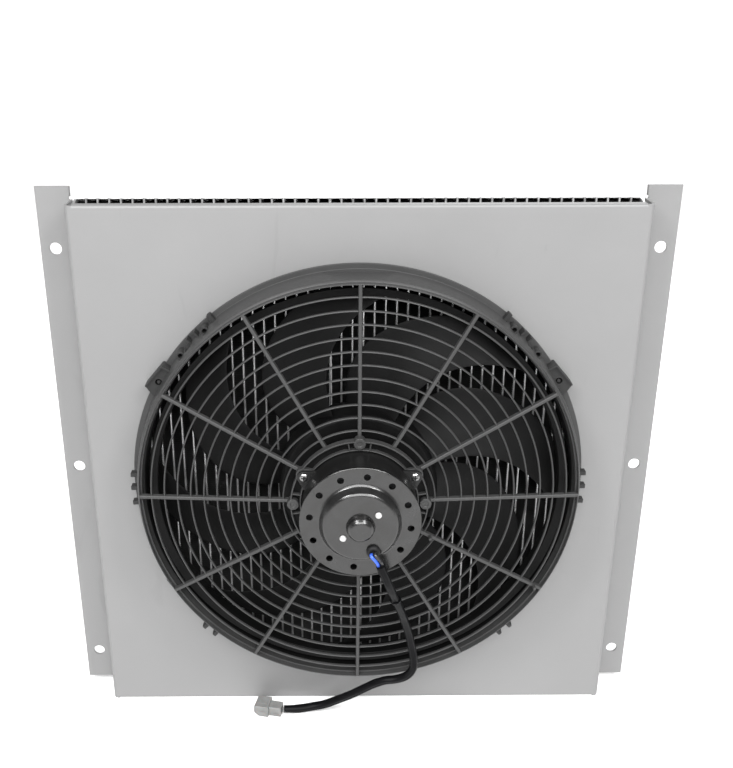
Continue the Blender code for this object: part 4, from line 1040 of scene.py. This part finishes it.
def motor():
    """Drawn can with three screw ears, a pressed end cap with vents, and the bearing housing."""
    centre = place(0, 0, FAN_Z)
    back = -0.0260
    brim, inner = -CAP_FACE + 0.0030, CAN_R - 0.0020
    wall = [(CAN_R, brim), (CAN_R, -0.0290), (CAN_R - 0.0030, back), (0.0060, back), (0.0060, back - 0.0020),
            (CAN_R - 0.0038, back - 0.0020), (inner, -0.0298), (inner, brim)]
    can = turned(wall, centre, 0.0012, steps=160, corner=4)
    ears = []
    seat, root = FRONT_Y + HUB_FRONT - 0.0003, CAN_R - 0.0012
    outline = [(root, -0.0110), (root, 0.0110)] + arc((MOUNT_R + 0.0004, 0), 0.0056, 72, -72, 14)
    for angle in MOUNT_ANGLES:
        ears.append(spun(eased(prism(outline, seat - 0.0030, seat, "Y"), 0.0004), angle))
    show("motor_can_shell", joined(can, *ears), "motor_steel", "motor_can")

    skin, face, boss = 0.0026, -CAP_FACE, -BOSS_FACE
    pressed = [(0.0116, boss), (0.0300, boss), (0.0318, boss + 0.0010), (0.0354, face - 0.0010),
               (0.0373, face), (CAP_R, face), (CAP_R, face + skin), (0.0360, face + skin),
               (0.0310, boss + skin), (0.0116, boss + skin)]
    tools = []
    for n in range(VENTS):
        x, z = polar(VENT_R, VENT_PHASE + 360 / VENTS * n)
        tools.append(rod(place(x, face, z), "Y", 0.0030, 0.02, 40))
    tools.append(rod(place(GROMMET[0], boss, FAN_Z + GROMMET[1]), "Y", 0.0045, 0.02, 40))
    cap = combined(turned(pressed, centre, 0.0013, steps=192, corner=5), tools)
    cap = eased(cap, 0.00035, steps=2, angle=50)
    show("end_cap_pressing", cap, "cap_steel", "motor_end_cap")

    front = -BEARING_FACE
    stub = [(0.0, front), (0.0072, front), (0.0088, front + 0.0006), (0.0112, front + 0.0034),
            (0.0114, boss - 0.0016), (0.0124, boss - 0.0003), (0.0118, boss + 0.0020),
            (0.0098, boss + 0.0020), (0.0098, front + 0.0018), (0.0, front + 0.0018)]
    stub = turned(stub, centre, 0.0009, closed=False, corner=4)
    show("bearing_housing", stub, "cap_steel", "bearing_cap")


def motor_fittings():
    """Rivets, the cable's grommet and the three screws on the motor."""
    for n, (x, z) in enumerate(RIVETS):
        low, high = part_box(f"cap_rivet_{n + 1}")
        front, seat = low.y, low.y + 0.0016
        head = [(0.0, front), (0.0024, front + 0.0001), (0.0030, front + 0.0010), (0.0030, seat),
                (0.0019, seat), (0.0019, high.y), (0.0, high.y)]
        head = turned(head, (x, 0, FAN_Z + z), 0.0004, steps=48, closed=False)
        show(f"rivet_head_{n + 1}", head, "bright_steel", f"cap_rivet_{n + 1}", finish=RIVET_ALUMINIUM)
    low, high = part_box("grommet")
    front, step, seat, bore = low.y, low.y + 0.0016, low.y + 0.0037, low.y + 0.0024
    ring = [(0.0026, step), (0.0028, front), (0.0044, front), (0.0058, step), (0.0058, seat), (0.0042, seat),
            (0.0042, high.y), (0.0, high.y), (0.0, bore), (0.0022, bore)]
    ring = turned(ring, (GROMMET[0], 0, FAN_Z + GROMMET[1]), 0.0005, steps=64, closed=False)
    show("cable_grommet", ring, "rubber", "grommet")
    for n in range(3):
        screw(f"motor_screw_{n + 1}", f"guard_screw_{n + 1}", "Y", -1, 0.0046, 0.0036)


# ---------------------------------------------------------------- cable

def smooth(points, count):
    """Points on a Catmull-Rom curve through the given ones."""
    spots = [Vector(p) for p in points]
    spots = [2 * spots[0] - spots[1], *spots, 2 * spots[-1] - spots[-2]]
    fine = []
    for a, b, c, d in zip(spots, spots[1:], spots[2:], spots[3:]):
        for step in range(16):
            t = step / 16
            fine.append(0.5 * (2 * b + (c - a) * t + (2 * a - 5 * b + 4 * c - d) * t ** 2
                               + (3 * b - a - 3 * c + d) * t ** 3))
    fine.append(spots[-2])
    return evenly(fine, count)


def cable():
    """Two insulated wires into a creased sleeve, with a band part-way and a two-pin connector."""
    route = smooth([place(*p) for p in CABLE_ROUTE], 240)
    pinch_at = TIE_POINT / (len(CABLE_ROUTE) - 1) * 1.02
    around = 28

    def section(i):
        along = i / (len(route) - 1)
        pinch = 1 - 0.10 * max(0.0, 1 - abs(along - pinch_at) / 0.03)
        tail = 1 - 0.12 * max(0.0, (along - 0.95) / 0.05)
        points = []
        for k in range(around):
            turn = 2 * pi * k / around
            crease = noise.noise(Vector((cos(turn) * 1.4, sin(turn) * 1.4, along * 26))) * 0.05
            front = 0.16 * exp(-((turn - pi * 0.5) / 0.30) ** 2)
            rear = 0.05 * exp(-((turn - pi * 1.5) / 0.5) ** 2)
            radius = CABLE_R * (0.955 + crease - front - rear) * pinch * tail
            points.append((radius * 1.02 * sin(turn), radius * 0.93 * cos(turn)))
        return points
    sleeve = sweep(route, section, up=Vector((1, 0, 0)))
    sleeve = show("cable_sleeving", sleeve, "sleeve", "cable_sleeve", sharp=60)

    start = Vector((GROMMET[0], -BOSS_FACE - 0.0046, FAN_Z + GROMMET[1]))
    first = Vector(CABLE_ROUTE[0])
    ahead = (Vector(CABLE_ROUTE[1]) - first).normalized()
    across = ahead.cross(Vector((0, 1, 0))).normalized()
    for name, side in (("wire_blue", -1), ("wire_black", 1)):
        shift = across * side * WIRE_OFFSET
        points = [start + shift, start + shift + Vector((0, -0.0030, -0.0004)),
                  first + shift - ahead * 0.0040, first + shift - ahead * 0.0004]
        line = smooth([place(*p) for p in points], 30)
        tube = sweep(line, lambda i: circle(WIRE_R, 16))
        show(f"{name}_lead", tube, name, name, sharp=60)

    ahead = (Vector(CABLE_ROUTE[TIE_POINT + 1]) - Vector(CABLE_ROUTE[TIE_POINT - 1])).normalized()
    inner, outer, half = CABLE_R - 0.0002, CABLE_R + 0.0007, 0.0014
    band = turned([(inner, -half), (outer, -half), (outer, half), (inner, half)], (0, 0, 0), 0.0004, "Z", 64)
    there = Matrix.Translation(place(*CABLE_ROUTE[TIE_POINT]))
    moved(band, there @ ahead.to_track_quat("Z", "Y").to_matrix().to_4x4())
    tie = show("cable_band", band, "sleeve", "cable_tie")
    plug, pins = connector()


def connector():
    """Two-pin nylon housing with a bevelled mouth, a latch, side ribs and a narrower neck for the lead.

    It is drawn around the lead's end, mouth towards -X, and then laid at its angle.
    """
    lay = (Matrix.Translation(place(*PLUG_AT, 0)) @ Matrix.Rotation(radians(PLUG_TURN), 4, "Z")
           @ Matrix.Translation((0, -FRONT_Y, 0)))
    mouth, ground, top = -PLUG_L, 0.0004, PLUG_H - 0.0006
    half_w, half_neck, neck_start = PLUG_W / 2, PLUG_NECK_W / 2, -PLUG_NECK_L
    outline = [(mouth + PLUG_CHAMFER, ground), (neck_start, ground), (neck_start, top),
               (mouth + 0.0012, top), (mouth, top - 0.0012), (mouth, ground + PLUG_CHAMFER)]
    body = prism(rounded(outline, 0.0009, 3), FRONT_Y - half_w, FRONT_Y + half_w, "Y")
    neck = block((neck_start - 0.0010, -half_neck, ground), (-0.0003, half_neck, PLUG_NECK_H), 0.0010, 3)
    body = combined(eased(body, 0.0008, steps=3), [neck], "UNION")
    tools = []
    for side in (-1, 1):
        middle = side * PIN_PITCH / 2
        low, high = (mouth - 0.0050, middle - 0.0031, 0.0046), (mouth + 0.0140, middle + 0.0031, 0.0106)
        tools.append(block(low, high, ease=0.0006))
    tools.append(rod((0.0, FRONT_Y, PLUG_NECK_H / 2 + 0.0004), "X", 0.0038, 0.0160, 40))
    body = eased(combined(body, tools), 0.00025, angle=50)
    latch = (mouth + 0.0030, -0.0034, top - 0.0006), (neck_start - 0.0020, 0.0034, PLUG_H - 0.0002)
    catch = (mouth + 0.0026, -0.0034, top - 0.0004), (mouth + 0.0050, 0.0034, PLUG_H)
    extras = [block(*latch, ease=0.0004), block(*catch, ease=0.0004)]
    for side in (-1, 1):
        edge = side * half_w
        low, high = (mouth + 0.0050, edge - 0.0004, 0.0058), (neck_start - 0.0010, edge + 0.0004, 0.0070)
        extras.append(block(low, high, ease=0.0003))
        edge = side * half_neck
        low, high = (neck_start, edge - 0.0005, 0.0030), (-0.0020, edge + 0.0005, 0.0042)
        extras.append(block(low, high, ease=0.0003))
    whole = moved(joined(body, *extras), lay)
    plug = show("connector_shell", whole, "nylon", "connector_housing")
    pins = []
    for n, side in enumerate((-1, 1)):
        middle = side * PIN_PITCH / 2
        low, high = (mouth + 0.0040, middle - 0.0020, 0.0072), (mouth + 0.0137, middle + 0.0020, 0.0082)
        flat = block(low, high, ease=0.0003)
        crimp = turned([(0.0010, -0.0050), (0.0016, -0.0050), (0.0016, 0.0), (0.0010, 0.0)],
                       (mouth + 0.0135, FRONT_Y + middle, 0.0077), 0.0003, "X", 24, corner=2)
        pin = moved(joined(flat, crimp), lay)
        pins.append(show(f"pin_{n + 1}", pin, "brass", f"terminal_{n + 1}"))
    return plug, pins


# ---------------------------------------------------------------- assembly

def tanks():
    """Both tanks with their openings, and every weld bead as one piece."""
    filler_hole = rod(filler_foot(), "Z", FILLER_BORE_R, 0.02, 64)
    drain_spot = middle_of("drain_seal")
    drain_spot.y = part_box("drain_seal")[0].y
    drain_hole = rod(drain_spot, "Y", DRAIN_BORE_R, 0.02, 48)
    beads = tank("upper", middle_of("inlet_neck").x, [filler_hole])
    beads += tank("lower", middle_of("outlet_neck").x, [drain_hole])
    filler_line = ring_points(filler_foot() + Vector((0, 0, 0.0008)), "Z", 0.0176)
    beads.append(bead(filler_line, 0.0014, 0.0026, loop=True))
    show("weld_beads", joined(*beads), "tank_aluminium", finish=WELD_ALUMINIUM)


def screws():
    """The shroud's side screws and the fan's four fixing screws."""
    for side, outward in (("left", -1), ("right", 1)):
        for number in (1, 2, 3):
            name = f"wall_screw_{side}_{number}"
            screw(name, f"side_screw_{side}_{number}", "X", outward, 0.0042, 0.0026)
    for number in (1, 2, 3, 4):
        screw(f"housing_screw_{number}", f"fan_screw_{number}", "Y", 1, 0.0040, 0.0026, MOTOR_PAINT)


shroud()
flat_tubes()
fin_ribbons()
fan_housing()
fan_guard()
rotor()
motor()
motor_fittings()
cable()
tanks()
hose_neck("inlet_neck", "inlet_pipe")
hose_neck("outlet_neck", "outlet_pipe")
filler()
drain()
screws()

# The CAD's own pieces get the same finishes.
for part in frame["record"]["subparts"]:
    for holder in NODES[part["node"]].material_slots:
        holder.material = SLOT_FINISHES[part["material_slot"]].material

# ---------------------------------------------------------------- floor and light

HORIZON_LIGHT = 0.80
TOP_LIGHT = 0.22
HAZE = (0.02, 0.25)


def floor():
    reach = 120.0
    corners = [(-reach, -reach, 0), (reach, -reach, 0), (reach, reach, 0), (-reach, reach, 0)]
    mesh = mesh_of(built(corners, [(0, 1, 2, 3)]))
    pale = Finish("floor_finish", (0.93, 0.93, 0.93), 0.8, Specular_IOR_Level=0.0)
    soft = pale.noise(3, 3)
    pale.colour(pale.blend(pale.between(soft, (0.3, 0.7)), grey(0.915), grey(0.94)))
    mesh.materials.append(pale.material)
    ground = bpy.data.objects.new("floor", mesh)
    SCENE.collection.objects.link(ground)


def softbox(name, spot, aim, size, power):
    """Rectangular lamp at a spot, turned to face its aim."""
    lamp = bpy.data.lights.new(name, "AREA")
    lamp.shape = "RECTANGLE"
    lamp.size, lamp.size_y = size
    lamp.energy = power
    holder = bpy.data.objects.new(name, lamp)
    holder.location = spot
    holder.rotation_euler = (Vector(aim) - Vector(spot)).to_track_quat("-Z", "Y").to_euler()
    SCENE.collection.objects.link(holder)


def studio():
    """Dim room light overhead, with a bright haze along the horizon."""
    world = bpy.data.worlds.new("studio")
    world.use_nodes = True
    nodes, links = world.node_tree.nodes, world.node_tree.links
    spot = nodes.new("ShaderNodeTexCoord")
    split = nodes.new("ShaderNodeSeparateXYZ")
    ramp = nodes.new("ShaderNodeMapRange")
    ramp.inputs["From Min"].default_value = HAZE[0]
    ramp.inputs["From Max"].default_value = HAZE[1]
    ramp.inputs["To Min"].default_value = HORIZON_LIGHT
    ramp.inputs["To Max"].default_value = TOP_LIGHT
    nodes["Background"].inputs["Color"].default_value = (1.0, 1.0, 1.0, 1.0)
    links.new(spot.outputs["Generated"], split.inputs["Vector"])
    links.new(split.outputs["Z"], ramp.inputs["Value"])
    links.new(ramp.outputs["Result"], nodes["Background"].inputs["Strength"])
    SCENE.world = world


def sun(elevation, turn, strength, softness):
    """Broad distant light, turn degrees to the right of the viewer."""
    lamp = bpy.data.lights.new("broad_key", "SUN")
    lamp.energy = strength
    lamp.angle = radians(softness)
    holder = bpy.data.objects.new("broad_key", lamp)
    holder.rotation_euler = (radians(90 - elevation), 0, radians(turn))
    SCENE.collection.objects.link(holder)


floor()
studio()
sun(38, 0, 4.7, 50)
for side_name, x in (("left", -0.85), ("right", 0.85)):
    softbox(f"key_{side_name}", (x, -0.95, 1.6), (0, 0, FAN_Z), (0.32, 0.7), 25)
softbox("rear_fill", (0.4, 1.6, 1.3), (0, 0.05, 0.25), (1.0, 0.8), 14)
